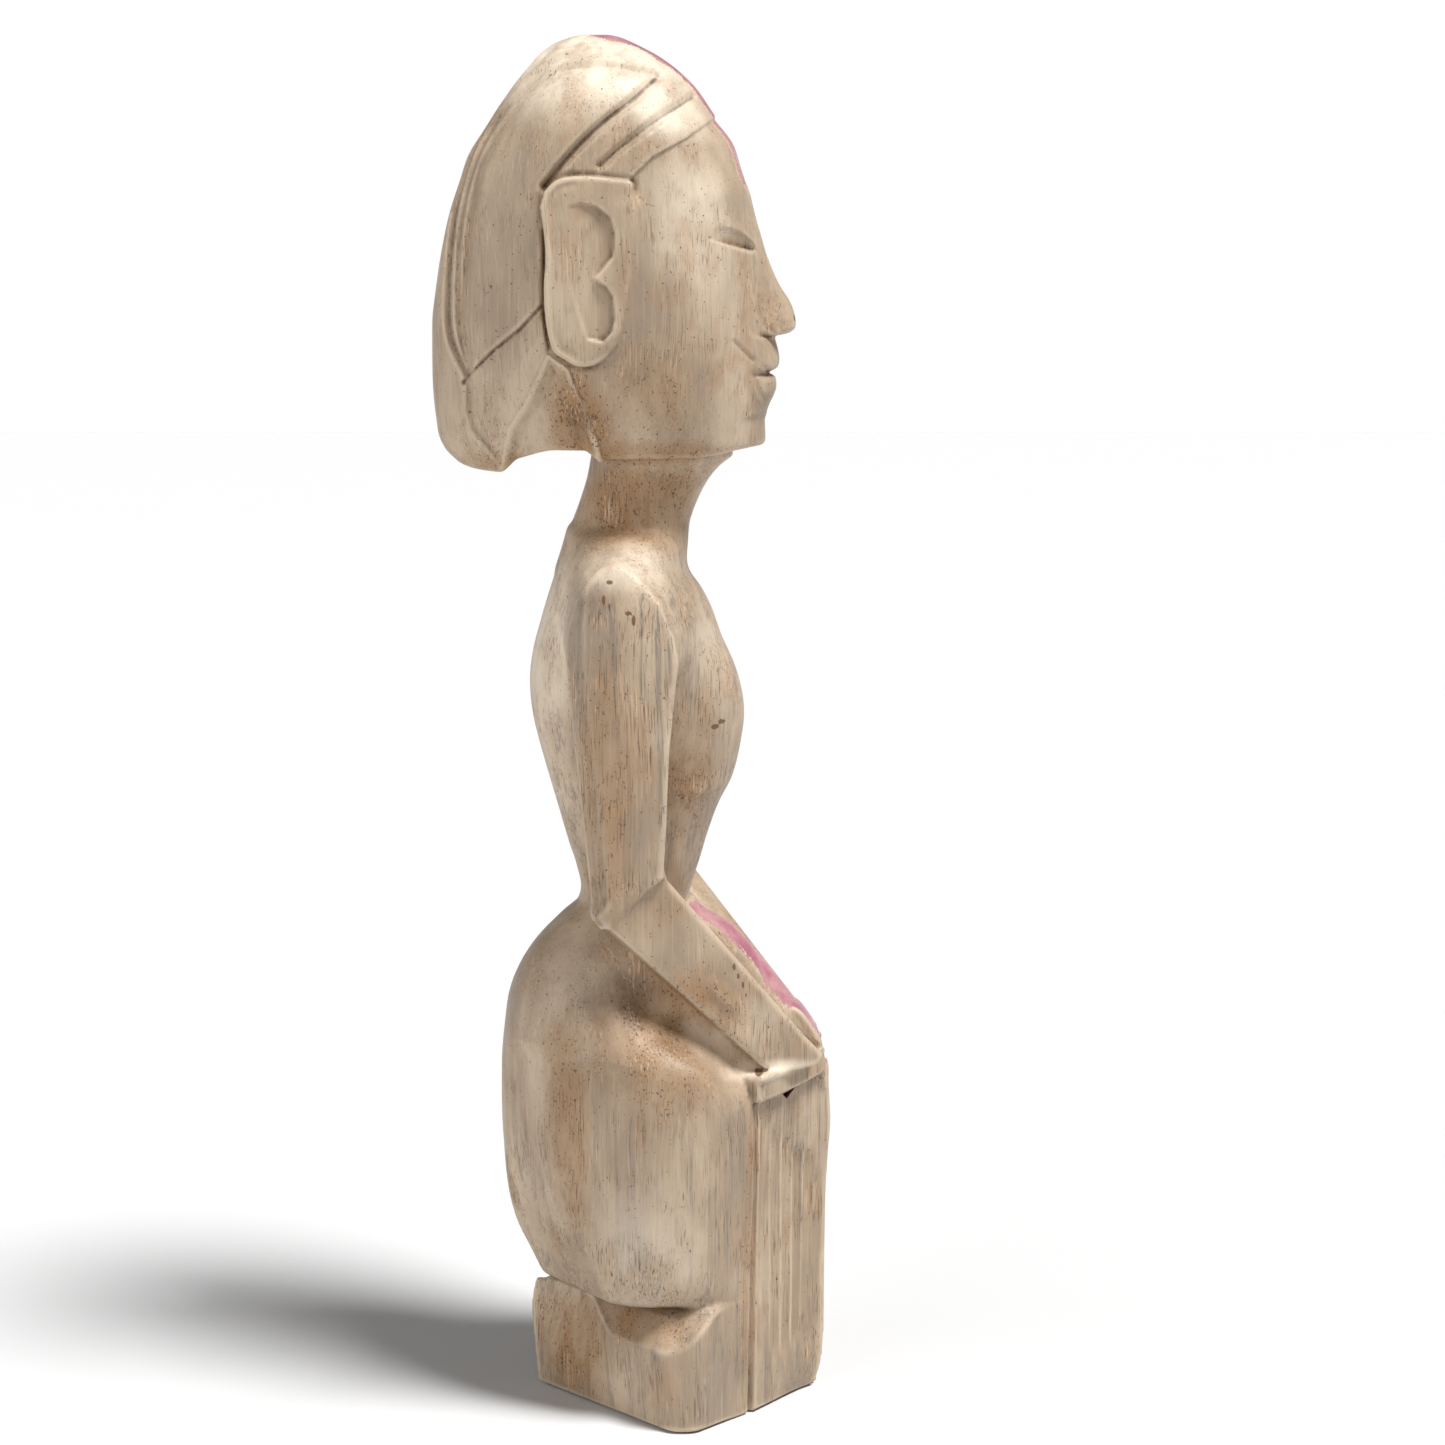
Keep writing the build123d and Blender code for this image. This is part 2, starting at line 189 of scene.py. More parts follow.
def skirt_field(a, f, z):
    """Hips and thighs, with flat facets at the back and a hollow under each forearm."""
    rear = oval(a, f, curve(z, HIP_HALF), curve(z, HIP_BACK), 90, -2)
    rear_cut = 0.60 * (a - 34.0) - 0.80 * (f + curve(z, HIP_FACET))
    side_cut = 0.93 * (a - 45.5) - 0.37 * (f + 19) + 0.05 * (88 - z) * (z < 88)
    fade = 30 * ramp(z, 132, 170)
    body = smax(smax(rear, rear_cut - fade, 1.2), side_cut - fade, 1.2)
    body = smax(body, front_face(a, f, z), 7.0)
    lap = f - curve(z, SASH_LINE) + 7.5 + 0.010 * np.clip(a - 10, 0, 50) ** 2 * ramp(z, 120, 150)
    body = smax(body, 0.80 * lap, 6.0)
    hollow = bar_distance(a, f, z, (50, -13, 172), (37, 28, 137)) - 12.0 + 5.0 * ramp(f, -12, 28)
    body = smax(body, -hollow, 15.0)
    return smax(body, CREASE_Z - z - 8 * ramp(f, 14, 24) - 60 * ramp(f, 22, 24), 1.5)


def base_field(a, f, z):
    """End of the log: two flat faces a side, with the ledge that is cut in under the skirt."""
    back = curve(z, BASE_BACK)
    left_face = 0.70 * (a - 26.1 - 0.09 * z) - 0.714 * (f + 23.4)
    right_face = 0.69 * (a - 49.7) - 0.72 * (f - 0.8 + 0.087 * z)
    side = smax(a - 52.0 + 0.045 * z, front_face(a, f, z), 2.5)
    low = smax(smax(left_face, right_face, 0.6), side, 2.2)
    low = low + 4.5 * ramp(z, 18, 44) * ramp(-f, 18, 27) * (1 - ramp(-f, 43, 50))
    depth = 9.5 * ramp(-f, -23, -4) * (1 - ramp(-f, 18, 30))
    bevel = low + depth - 0.66 * (CREASE_Z + 1.0 - z)
    low = smax(low, bevel, 0.6)
    low = smax(low, -f - back + 0.8, 1.6)
    low = smax(low, z - BASE_TOP, 1.0 + 6 * ramp(-f, 28, 44))
    return smax(low, FLOOR_GAP - z, 1.3)


def sash_field(a, f, z):
    """The sash down the lap, and its end that hangs between the pleat panels."""
    ridge = 0.80 * (f - curve(z, SASH_LINE) + 0.050 * a * a)
    lap = smax(ridge, a - 11.2 - 0.5 * np.sin(z * 0.35) * ramp(z, 120, 140), 2.5)
    lap = smax(lap, 130 - z, 3.0)
    lap = smax(lap, z - 191, 4.0)
    tail = smax(f - curve(z, TAIL_FRONT), a - 5.0 - 4.5 * ramp(z, 112, 126), 2.0)
    tail = smax(tail, 54 - z + 0.25 * a, 1.5)
    tail = smax(tail, z - 150, 4.0)
    return smin(smax(lap, -f, 1), smax(tail, 40 - f, 1), 2.5)


# flutes of a pleat panel: (place along it, lower end, upper end, depth)
PLEAT_CUTS = [
    (7.5, 2, 108, 0.9), (12.5, 17, 101, 1.7), (18.5, 15, 97, 1.6), (24.5, 18, 92, 1.7), (30.0, 16, 88, 1.5),
    (34.6, 19, 80, 1.1),
]
PLEAT_LEAN = [(0, -4.5), (4, -2.6), (10, -1.0), (24, 0), (60, 0), (110, 1.2), (140, 1.2)]
FLUTE_HALF = 2.8
# plan of a pleat panel: where it starts, and the direction that its face looks in
PLEAT_A = 32
PLEAT_F = 32.8
EDGE_F = 33.2
FACE_A = 0.687
FACE_F = 0.727
PLEAT_TOP = 122


def along_pleat(a, f):
    """How far along the pleat panel a point is, from its outer edge towards the middle of the front."""
    return (27 * (PLEAT_A - a) + 25.5 * (f - EDGE_F)) / 37.1


def pleat_field(a, f, z):
    """Field of a pleat panel, and the groove along its outer edge."""
    shift = curve(z, PLEAT_LEAN)
    low = FACE_A * (a - PLEAT_A) + FACE_F * (f - PLEAT_F - shift * ramp(f, 30, 55))
    along = along_pleat(a, f)
    plane = low - 0.5 * ramp(along, 30, 38)
    for u, z_low, z_high, depth in PLEAT_CUTS:
        in_height = ramp(z, z_low - 2, z_low + 9) * (1 - ramp(z, z_high, z_high + 9))
        wander = 0.5 * np.sin(0.045 * z + u)
        channel = np.clip(1 - abs(along - u - wander) / FLUTE_HALF, 0, 1)
        plane = plane + depth * in_height * np.sqrt(channel)
    panel = smax(plane, -along, 0.9)
    panel = smax(panel, -plane - 18, 1)
    panel = smax(panel, smin(2.6 - a, f - 55.0 - shift, 0.6), 1.0)
    panel = smax(panel, z - 121.5 - 0.12 * along, 1.0)
    edge = groove(abs(along), 1.7, 1.5) * (z < PLEAT_TOP) * ramp(low, -6, -4)
    return smax(panel, FLOOR_GAP - z, 1.8), edge


# (place along the pleat panel, height) of the middle of the band of folded fingers
HAND_LINE = [(-4, 124.6), (0, 125.0), (12, 126.0), (24, 127.4), (37, 129.6)]
HAND_MIDDLE = 16.0
HAND_HALF = 18.6


def hand_field(a, f, z):
    """The folded fingers: a raised band with a lip along its top."""
    along = along_pleat(a, f)
    out = FACE_A * (a - PLEAT_A) + FACE_F * (f - 34.2)
    rise = z - curve(along, HAND_LINE)
    face = out - 3.4
    band = smax(face, abs(rise) - 4.9, 1.6)
    band = smax(band, abs(along - HAND_MIDDLE) - HAND_HALF, 2.0)
    lip = np.sqrt((out - 3.0) ** 2 + (rise - 4.2) ** 2) - 1.6
    lip = smax(lip, abs(along - HAND_MIDDLE) - HAND_HALF + 0.6, 2.0)
    band = smin(band, lip, 1.0)
    return smax(band, -out - 14, 1)


# ---- torso, neck and arms
TORSO_BACK = [
    (186, 28), (189, 28.6), (198, 31), (204, 32.6), (208, 34), (225, 38.9), (241.5, 43.6), (258, 47.6),
    (270, 48.6), (281, 47.4), (291, 44.8), (301, 41.9), (312, 38.2), (320, 35), (326, 33.6),
]
TORSO_FRONT = [
    (186, 9), (192, 10), (204, 13.7), (214, 16.6), (225, 20.6), (234.5, 25.3), (248.6, 28.6), (258, 29.6),
    (266, 28.8), (276, 25.9), (286, 21.4), (297, 17.4), (304, 13.7), (309, 10.1), (314, 8.0), (320, 7),
    (326, 6),
]
TORSO_HALF = [
    (186, 20), (198, 20), (214, 22), (235, 27), (255, 32.5), (270, 35.5), (290, 38), (303, 39), (313, 37.5),
    (319, 34), (323, 28), (327, 20),
]
NECK_BACK = [(312, 37), (319, 35.6), (328.5, 32.7), (335.7, 30.1), (343.7, 27.6), (352, 26)]
NECK_FRONT = [(312, 6), (320.5, 8.3), (328.5, 9.7), (338, 13.3), (343.7, 16.5), (348, 20), (352, 25)]
NECK_HALF = [(312, 25), (320, 21.5), (328, 19), (338, 18.5), (346, 20), (352, 23)]
# side view of an upper arm, as (f, z)
ARM_OUTLINE = [
    (-25.0, 190.5), (-26, 200), (-31.2, 250), (-33.6, 276), (-34.8, 289), (-33.5, 297), (-31, 305),
    (-26.8, 312.5), (-22, 316.4), (-17.7, 318.0), (-13, 316.8), (-8, 312.5), (-1, 305), (3.6, 293),
    (5.2, 284), (4.0, 273), (2.5, 258), (1.8, 250), (0.9, 225), (-0.2, 206.3), (-22.2, 187.6),
]
ARM_EDGE = [(190, 19.5), (250, 25), (290, 28.5), (320, 23)]
ARM_MIDDLE = 42
ARM_HALF = 8.4


def torso_field(a, f, z):
    """Torso and neck."""
    back, front = curve(z, TORSO_BACK), curve(z, TORSO_FRONT)
    body = oval(a, f, curve(z, TORSO_HALF), back, front, -10)
    chest_side = 0.80 * (a - 25) + 0.60 * (f - 13) - 0.10 * (z - 262)
    body = smax(body, chest_side - 40 * ramp(-z, -236, -205), 4.0)
    neck = oval(a, f, curve(z, NECK_HALF), curve(z, NECK_BACK), curve(z, NECK_FRONT), -8)
    neck = smax(neck, 312 - z, 1)
    neck = smax(neck, z - 358, 1)
    body = smax(body, z - 325, 2)
    body = smin(body, neck, 5.0)
    return smax(body, 185 - z, 1)


def arm_field(a, f, z, outline):
    """Upper arm: a slab with the side outline, its outer rear edge cut off at a slant."""
    slab = abs(a - ARM_MIDDLE + 0.072 * np.clip(z - 290, 0, 40)) - ARM_HALF
    slab = slab + 0.012 * np.clip(z - 300, 0, 20) ** 2
    bevel = 0.75 * (a - 50.0) - 0.66 * (f + curve(z, ARM_EDGE))
    return smax(smax(outline, slab, 2.6), bevel, 0.8)


ELBOW = np.array([40.0, -11.2, 196.5])
WRIST = np.array([19.5, 43.0, 135.6])
FOREARM_LENGTH = np.linalg.norm(WRIST - ELBOW)
FOREARM_AXIS = (WRIST - ELBOW) / FOREARM_LENGTH
FOREARM_SIDE = np.array([FOREARM_AXIS[1], -FOREARM_AXIS[0], 0.0])
FOREARM_SIDE = FOREARM_SIDE / np.hypot(FOREARM_AXIS[0], FOREARM_AXIS[1])
FOREARM_UP = np.cross(FOREARM_AXIS, FOREARM_SIDE)
FOREARM_UP = FOREARM_UP * np.sign(FOREARM_UP[2])
FOREARM_FRAME = (FOREARM_AXIS, FOREARM_SIDE, FOREARM_UP)


def forearm_field(a, f, z):
    """Four-sided bar from the elbow to the wrist, thinner towards the hand, on which it ends."""
    da, df, dz = a - ELBOW[0], f - ELBOW[1], z - ELBOW[2]
    along, out, high = (da * d[0] + df * d[1] + dz * d[2] for d in FOREARM_FRAME)
    t = np.clip(along / FOREARM_LENGTH, 0, 1)
    bar = smax(abs(high) - (13.5 - 4.0 * t), abs(out) - (8.8 - 0.4 * t), 2.8)
    bar = smax(bar, -along - 7.5, 3.0)
    bar = smax(bar, along - 95, 1.0)
    bar = smax(bar, a - 50.2, 1.5)
    return smax(bar, curve(along_pleat(a, f), HAND_LINE) + 3.6 - z, 0.8)


# ---- head and hair
HEAD_BACK = [
    (346, 60), (348, 68.7), (352, 75.0), (357, 78.6), (366, 80.5), (384, 81.6), (399, 81.5), (412, 80),
    (426, 77.7), (439, 74.7), (450, 71), (459, 67.8), (468, 62), (478, 55.4), (488.7, 47), (497, 38),
    (500.5, 30),
]
FACE_FRONT = [
    (350, 33), (353, 36), (358, 38.2), (366, 37.6), (373, 38.4), (381, 38.6), (390, 39.4), (395, 39.2),
    (400, 38.8), (410, 37.2), (420, 35.6), (430, 34.0), (437, 32.2), (446, 30.1), (454, 27.5),
    (463, 24.3), (472, 17.2), (484, 8.3), (493, -3), (498.8, -14.4), (500.5, -18),
]
HEAD_HALF = [
    (350, 27), (356, 30), (366, 34), (380, 37.5), (400, 40), (420, 41), (440, 41), (455, 39.5), (468, 36),
    (480, 30), (490, 22), (497, 13), (500.5, 4),
]
SKULL_MIDDLE = [(440, -18), (480, -22), (500.5, -24)]
NOSE_TOP = [
    (392, 30), (395.5, 44), (397, 46.6), (399, 47.4), (402, 47.0), (406.5, 45.5), (413, 41.4),
    (422.5, 37.2), (430, 34.8), (437, 32.6), (446, 30.3),
]
NOSE_HALF = [(394, 9.5), (400, 9.0), (406, 7.4), (415, 5.6), (430, 4.2), (446, 5.0)]
LIPS_FRONT = [
    (368, 36), (371, 37.8), (373.5, 39.4), (377, 40.6), (380, 40.2), (381.8, 38.0), (383.6, 40.8),
    (386.5, 41.6), (390, 41.0), (394, 39.6),
]
# lines and outlines in the side view, as (f, z)
HAIRLINE = [(24, 476), (17.4, 471), (8.0, 464.6), (-3.7, 458.4), (-9.5, 452.8), (-11.8, 450.6)]
HAIR_SHAPE = HAIRLINE + [
    (-41.5, 447), (-42, 404), (-40.4, 390.7), (-33, 385.5), (-28.2, 373.2), (-23.5, 360.8), (-20, 346),
    (-95, 340), (-95, 510), (24, 510),
]
# strands of hair: (line, width of its groove, depth)
STRANDS = [
    (smooth_line([
        (9.7, 478.4), (-3.7, 469.8), (-15.3, 461.3), (-22.1, 455.3),
    ]), 2.2, 1.7),
    (smooth_line([
        (-3.1, 484.7), (-10.7, 477.8), (-19.9, 470.9), (-28, 463.6), (-34.8, 456.2), (-41.1, 448.3),
    ]), 2.3, 2.2),
    (smooth_line([
        (-2, 485.6), (-21.6, 488.8), (-35, 487.5), (-44.3, 481.8), (-52.4, 473.2), (-60.1, 462.9),
        (-65.4, 451.5), (-67.8, 438.8), (-69.1, 424.9), (-70.3, 401.7), (-68.3, 383),
    ]), 2.6, 2.1),
    (smooth_line([
        (-15.3, 494.4), (-26.9, 494.4), (-38.5, 490.4), (-46.7, 483.5), (-56.1, 473.2), (-63.1, 462.9),
        (-67.9, 450.3), (-71, 436.4), (-72.3, 420.1), (-72.1, 401.5), (-68.5, 382.7),
    ]), 2.4, 2.3),
    (smooth_line([
        (-30.5, 496.2), (-40.4, 494.4), (-46.8, 489.3), (-57.4, 477.8), (-64.5, 467.5), (-69.2, 456),
        (-72.9, 440.9), (-74.8, 424.6), (-75.8, 407.1), (-74.5, 394.2), (-68.7, 382.4),
    ]), 2.3, 2.3),
]
HAIR_STEP = [(-42.4, 407.2), (-50.1, 399), (-60.2, 390.7), (-68, 382.9), (-70.6, 379.7)]
LOWER_PANEL = [
    (-40, 409), (-60.2, 390.7), (-70.2, 380.2), (-70.3, 369.7), (-68.6, 362.7), (-64.5, 358.1),
    (-57.6, 350), (-54.0, 363.9), (-46.9, 375.6), (-39, 392), (-38, 400),
]
NAPE = [
    (-40.4, 390.7), (-32.8, 385.5), (-28.2, 373.2), (-25, 362.7), (-20, 345), (-47, 344), (-58, 346),
    (-54, 363.9), (-46.9, 375.6),
]
EAR = smooth_line([
    (-41.5, 446.7), (-38.1, 450.1), (-33.5, 451.8), (-26.6, 452.1), (-17.5, 451.2), (-10.6, 449.5),
    (-10.6, 441.6), (-15.3, 400), (-22, 388), (-29.1, 386.2), (-34.9, 389.1), (-38.9, 392.5),
    (-41.2, 402.9), (-41.7, 414.3), (-41.1, 423.4), (-41.6, 432.5), (-42.9, 441.6),
], 3)
EAR_HOLLOW = [
    (-33.5, 441.6), (-28.4, 442.9), (-23.2, 441.8), (-18.6, 438.2), (-16.9, 432.5), (-17.5, 424.6),
    (-21.6, 419.4), (-23.9, 416.8), (-19.8, 414.3), (-17.5, 410.9), (-17.0, 402.9), (-18.1, 398.3),
    (-21.0, 394.8), (-26.8, 396.0), (-32.5, 414.3), (-35.3, 431.4),
]
SMILE = [(24.6, 393.9), (29.9, 388.6), (31.7, 386.9)]
LIP_CORNER = [(32, 381.5), (33.3, 376.7), (36.3, 372.6)]
NOSE_WING = [(33.7, 409.2), (34.3, 403.3), (35.5, 399.2), (39.1, 396.8)]
JAW_BACK = [(-32.7, 385.8), (-28.1, 370.1), (-23.5, 360.8), (-18.9, 355)]
HEAD_TOP = 500.4


def side_views(f, z):
    """Distances in the side view to the lines and outlines of the head."""
    shapes = {"hair": HAIR_SHAPE, "lower_panel": LOWER_PANEL, "nape": NAPE, "ear": EAR, "hollow": EAR_HOLLOW}
    lines = {"step": HAIR_STEP, "smile": SMILE, "lips": LIP_CORNER, "wing": NOSE_WING, "jaw": JAW_BACK}
    flat = {key: shape_distance(f, z, outline)[None] for key, outline in shapes.items()}
    flat.update({key: line_distance(f, z, line)[None] for key, line in lines.items()})
    flat["strands"] = [(line_distance(f, z, line)[None], width, depth) for line, width, depth in STRANDS]
    return flat


def skull_field(a, f, z):
    """Head without features: an oval with flatter cheeks and temples, narrower at the back."""
    front, back, half = curve(z, FACE_FRONT), curve(z, HEAD_BACK), curve(z, HEAD_HALF)
    skull = oval(a, f, half, back, front, curve(z, SKULL_MIDDLE))
    cheek = 0.62 * (a - 23.5) + 0.785 * (f - 24.5) - 0.05 * (z - 400)
    skull = smax(skull, cheek - 30 * ramp(z, 440, 470), 8.0)
    temple = a - 38.5 + 0.10 * f * ramp(f, -10, 20) + 0.0008 * (z - 425) ** 2
    skull = smax(skull, temple, 5.0)
    bun_side = 0.90 * (a - 33) - 0.43 * (f + 50)
    skull = smax(skull, bun_side, 6.0)
    underside = 353.0 + 2.5 * ramp(f, 10, 34) - 4.5 * ramp(-f, 38, 58)
    return smax(skull, underside - z, 2.2)


def comb_hair(field, a, flat):
    """Raises the hair above the face, and cuts its strands, its lower panel and the nape."""
    field = field - 1.3 * ramp(-flat["hair"], -0.3, 0.5)
    cut = groove(flat["step"], 1.1, 1.6)
    for distance, width, depth in flat["strands"]:
        cut = np.maximum(cut, groove(distance, width, depth))
    field = field + cut * ramp(a, 2, 6)
    field = field + 1.7 * (1 - ramp(flat["lower_panel"], -2.2, 0.3))
    return field + 4.2 * (1 - ramp(flat["nape"], -5.0, 0.6))


def add_ear(field, a, f, z, flat):
    """Joins on the ear: a slab with a rim and a scooped hollow, undercut behind."""
    ear = smax(flat["ear"], 30 - a, 2)
    ear_face = a - (45.0 - 0.155 * (f + 42) - 0.0012 * (z - 425) ** 2)
    ear = smax(ear, ear_face, 1.6)
    scoop = np.clip((f + 37) / 20, 0, 1) ** 1.3 * 3.0
    ear = ear + scoop * (1 - ramp(flat["hollow"], -0.7, 0.1))
    ear = ear + groove(abs(flat["ear"] + 3.2), 1.8, 0.5) * (f < -30)
    front_side = ramp(f, -26, -14) * (1 - ramp(z, 440, 450))
    field = smin(field, ear, 0.8 + 5.5 * front_side)
    return field + groove(abs(flat["ear"] - 0.6), 1.2, 0.7) * (1 - front_side) * ramp(a, 12, 18)


def add_nose(field, a, f, z, flat):
    """Joins on the nose, and cuts the line around its wing."""
    nose_side = 0.93 * (a - curve(z, NOSE_HALF)) + 0.36 * (f - 38)
    nose = smax(f - curve(z, NOSE_TOP) + 0.055 * a * a, nose_side, 2.2)
    nose = smax(nose, 395.6 - 0.12 * (f - 40) - z, 1.4)
    nose = smax(nose, 20 - f, 1)
    nose = smax(nose, z - 448, 4)
    field = smin(field, nose, 1.4)
    return field + groove(flat["wing"], 1.1, 0.5) * ramp(a, 5, 7)


def add_lips(field, a, f, z, flat):
    """Joins on the lips, and cuts the line between them and the fold beside them."""
    lips = smax(f - curve(z, LIPS_FRONT) + 0.035 * a * a, a - 13, 3)
    lips = smax(smax(lips, 368 - z, 1), z - 394, 1)
    field = smin(field, smax(lips, 25 - f, 1), 3.5)
    field = field + groove(abs(z - 381.7 - 0.02 * a * a), 0.9, 0.9) * (1 - ramp(a, 10, 13)) * (f > 20)
    return field + groove(flat["lips"], 1.6, 0.45) * ramp(a, 6, 9) * (1 - ramp(a, 20, 24))


def cut_eye(field, a, f, z):
    """Cuts the eye, deepest at its lower lid and fading upwards, and the shallow hollow over it."""
    face = ramp(a, 7, 11)
    along_lid = (f - 14.0) / 18.5
    over_lid = z - 430.2 + 5.4 * along_lid
    arch = 0.7 + 5.6 * np.clip(4.0 * along_lid * (1.04 - along_lid), 0, 1) ** 0.8
    fade_up = np.clip(1 - over_lid / arch, 0, 1) ** 0.75
    ends = ramp(along_lid, 0.0, 0.5) * (1 - ramp(along_lid, 0.98, 1.15))
    eye = fade_up * ramp(over_lid, -0.25, 0.35) * ends
    field = field + 2.8 * eye * face
    return field + 0.6 * np.exp(-(((f - 26) / 9) ** 2 + ((z - 437) / 7) ** 2)) * face


def head_field(a, f, z, flat):
    """Head, hair and ear. flat holds the side-view distances, worked out once for each slab."""
    field = comb_hair(skull_field(a, f, z), a, flat)
    field = add_ear(field, a, f, z, flat)
    field = add_nose(field, a, f, z, flat)
    field = add_lips(field, a, f, z, flat)
    field = cut_eye(field, a, f, z)
    field = field + groove(flat["smile"], 1.2, 0.6) * ramp(a, 7, 11)
    field = field + groove(flat["jaw"], 2.0, 0.9) * ramp(a, 12, 18) * ramp(z, 356, 366)
    return smax(field, z - HEAD_TOP, 3.0)


# ---- the whole figure
def lower_figure(a, f, z):
    """Base, skirt, pleat panels, sash and hands. The skirt is cut back to make room for the panels."""
    behind = FACE_A * (a - PLEAT_A) + FACE_F * (f - PLEAT_F) + 3.5
    beside = FACE_F * (PLEAT_A - a) + FACE_A * (f - EDGE_F) - 2.0
    field = smin(base_field(a, f, z), skirt_field(a, f, z), 0.6)
    field = smax(field, smin(behind, beside, 0.4) - 20 * ramp(z, 118, 122), 0.4)
    panel, edge = pleat_field(a, f, z)
    field = smin(field, panel, 1.0) + edge
    if z.min() < 30:
        field = smax(field, FLOOR_GAP - z, 1.3)
    field = field + groove(abs(z - CREASE_Z), 2.6, 1.8) * ramp(-f, -14, -4)
    if z.max() > 50:
        field = smin(field, sash_field(a, f, z), 0.9)
    if z.max() > 108:
        field = smin(field, hand_field(a, f, z), 0.7)
    return field


def half_figure(a, f, z):
    """Field of one half of the figure for a slab of heights, from the forms that reach into it."""
    low, high = z.min(), z.max()
    side_f, side_z = f[0], z[0]
    parts = [lower_figure(a, f, z)] if low < 212 else []
    forearm = forearm_field(a, f, z) if high > 115 and low < 215 else None
    if high > 182 and low < 325:
        arm = arm_field(a, f, z, shape_distance(side_f, side_z, ARM_OUTLINE)[None])
        arm = arm if forearm is None else smin(arm, forearm, 3.0)
        parts.append(smin(torso_field(a, f, z), arm, 1.0 + 11.0 * ramp(z, 266, 292)))
    else:
        if high > 180 and low < 360:
            parts.append(torso_field(a, f, z))
        if forearm is not None:
            parts.append(forearm)
    if high > 342:
        parts.append(head_field(a, f, z, side_views(side_f, side_z)))
    field = parts[0]
    for part in parts[1:]:
        field = smin(field, part, 1.0)
    return field


def distances(field, step):
    """The field divided by its own slope, so that it counts millimetres near the surface."""
    gx, gy, gz = np.gradient(field, step)
    return field / np.clip(np.sqrt(gx * gx + gy * gy + gz * gz), 0.35, 4)


def sculpt():
    """Voxel grid of the whole figure, the array it was filled from, and where its first cell is."""
    a = np.arange(0, HALF_WIDTH, VOXEL)[:, None, None]
    f = np.arange(-BACK, FRONT, VOXEL)[None, :, None]
    heights = np.arange(BOTTOM, TOP, VOXEL)
    band = 3 * VOXEL
    grid = openvdb.FloatGrid(band)
    whole = []
    for i in range(0, len(heights), SLAB):
        first, last = max(i - 1, 0), min(i + SLAB + 1, len(heights))
        z = heights[first:last][None, None, :]
        field = distances(half_figure(a, f, z), VOXEL)
        field = field[:, :, i - first : i - first + SLAB]
        field = np.concatenate([field[:0:-1], field], axis=0)
        whole.append(np.clip(field, -WIDE_REACH, WIDE_REACH).astype(np.float32))
    whole = np.concatenate(whole, axis=2)
    grid.copyFromArray(np.clip(whole, -band, band), tolerance=0.0)
    corner = np.array([-(len(a) - 1) * VOXEL, -BACK, BOTTOM])
    return grid, whole, corner


def blurred(values, radius):
    """Box blur, twice along each axis, which is close to a round blur."""
    for axis in range(3):
        for _ in range(2):
            pad = [(radius + 1, radius) if k == axis else (0, 0) for k in range(3)]
            total = np.cumsum(np.pad(values, pad, mode="edge"), axis=axis, dtype=np.float32)
            n = total.shape[axis]
            width = 2 * radius + 1
            upper = np.take(total, range(width, n), axis=axis)
            lower = np.take(total, range(n - width), axis=axis)
            values = (upper - lower) / width
    return values


def sample(values, corner, step, points):
    """Values of the array at points, between its cells."""
    at = (points - corner) / step
    at = np.clip(at, 0, np.array(values.shape) - 1.001)
    i = at.astype(int)
    t = at - i
    total = 0.0
    for dx in (0, 1):
        for dy in (0, 1):
            for dz in (0, 1):
                weight = (
                    (t[:, 0] if dx else 1 - t[:, 0])
                    * (t[:, 1] if dy else 1 - t[:, 1])
                    * (t[:, 2] if dz else 1 - t[:, 2])
                )
                total = total + weight * values[i[:, 0] + dx, i[:, 1] + dy, i[:, 2] + dz]
    return total


# ---- cutting the figure into its forms
SIDES = (("right", -1), ("left", 1))
CUT_SLOT = 1


def placed(name, data):
    """New object in the scene."""
    thing = bpy.data.objects.new(name, data)
    bpy.context.scene.collection.objects.link(thing)
    return thing


def add_slots(mesh):
    """Two material slots: one for carved faces, and CUT_SLOT, which marks the faces that a cut makes."""
    mesh.materials.append(wood)
    mesh.materials.append(wood)


def prism(near, far):
    """Closed cutter between two matching outlines, given as (x, f, z) points."""
    n = len(near)
    faces = [tuple(range(n)), tuple(range(2 * n - 1, n - 1, -1))]
    faces += [(i, i + n, (i + 1) % n + n, (i + 1) % n) for i in range(n)]
    mesh = bpy.data.meshes.new("cutter")
    mesh.from_pydata([(x * MM, -f * MM, z * MM) for x, f, z in [*near, *far]], [], faces)
    shape = bmesh.new()
    shape.from_mesh(mesh)
    bmesh.ops.triangulate(shape, faces=shape.faces)
    bmesh.ops.recalc_face_normals(shape, faces=shape.faces)
    for face in shape.faces:
        face.material_index = CUT_SLOT
    shape.to_mesh(mesh)
    shape.free()
    add_slots(mesh)
    return placed("cutter", mesh)


def side_prism(outline, x0, x1):
    """Cutter with a side-view outline, from x0 to x1."""
    return prism([(x0, f, z) for f, z in outline], [(x1, f, z) for f, z in outline])


def plan_prism(outline, z0, z1):
    """Cutter with an outline in plan, from z0 to z1."""
    return prism([(x, f, z0) for x, f in outline], [(x, f, z1) for x, f in outline])


def clipped(body, cutter, operation):
    """Mesh of the body after one boolean operation with the cutter."""
    modifier = body.modifiers.new("cut", "BOOLEAN")
    modifier.object = cutter
    modifier.operation = operation
    modifier.solver = "MANIFOLD"
    seen = body.evaluated_get(bpy.context.evaluated_depsgraph_get())
    mesh = bpy.data.meshes.new_from_object(seen)
    body.modifiers.remove(modifier)
    return mesh


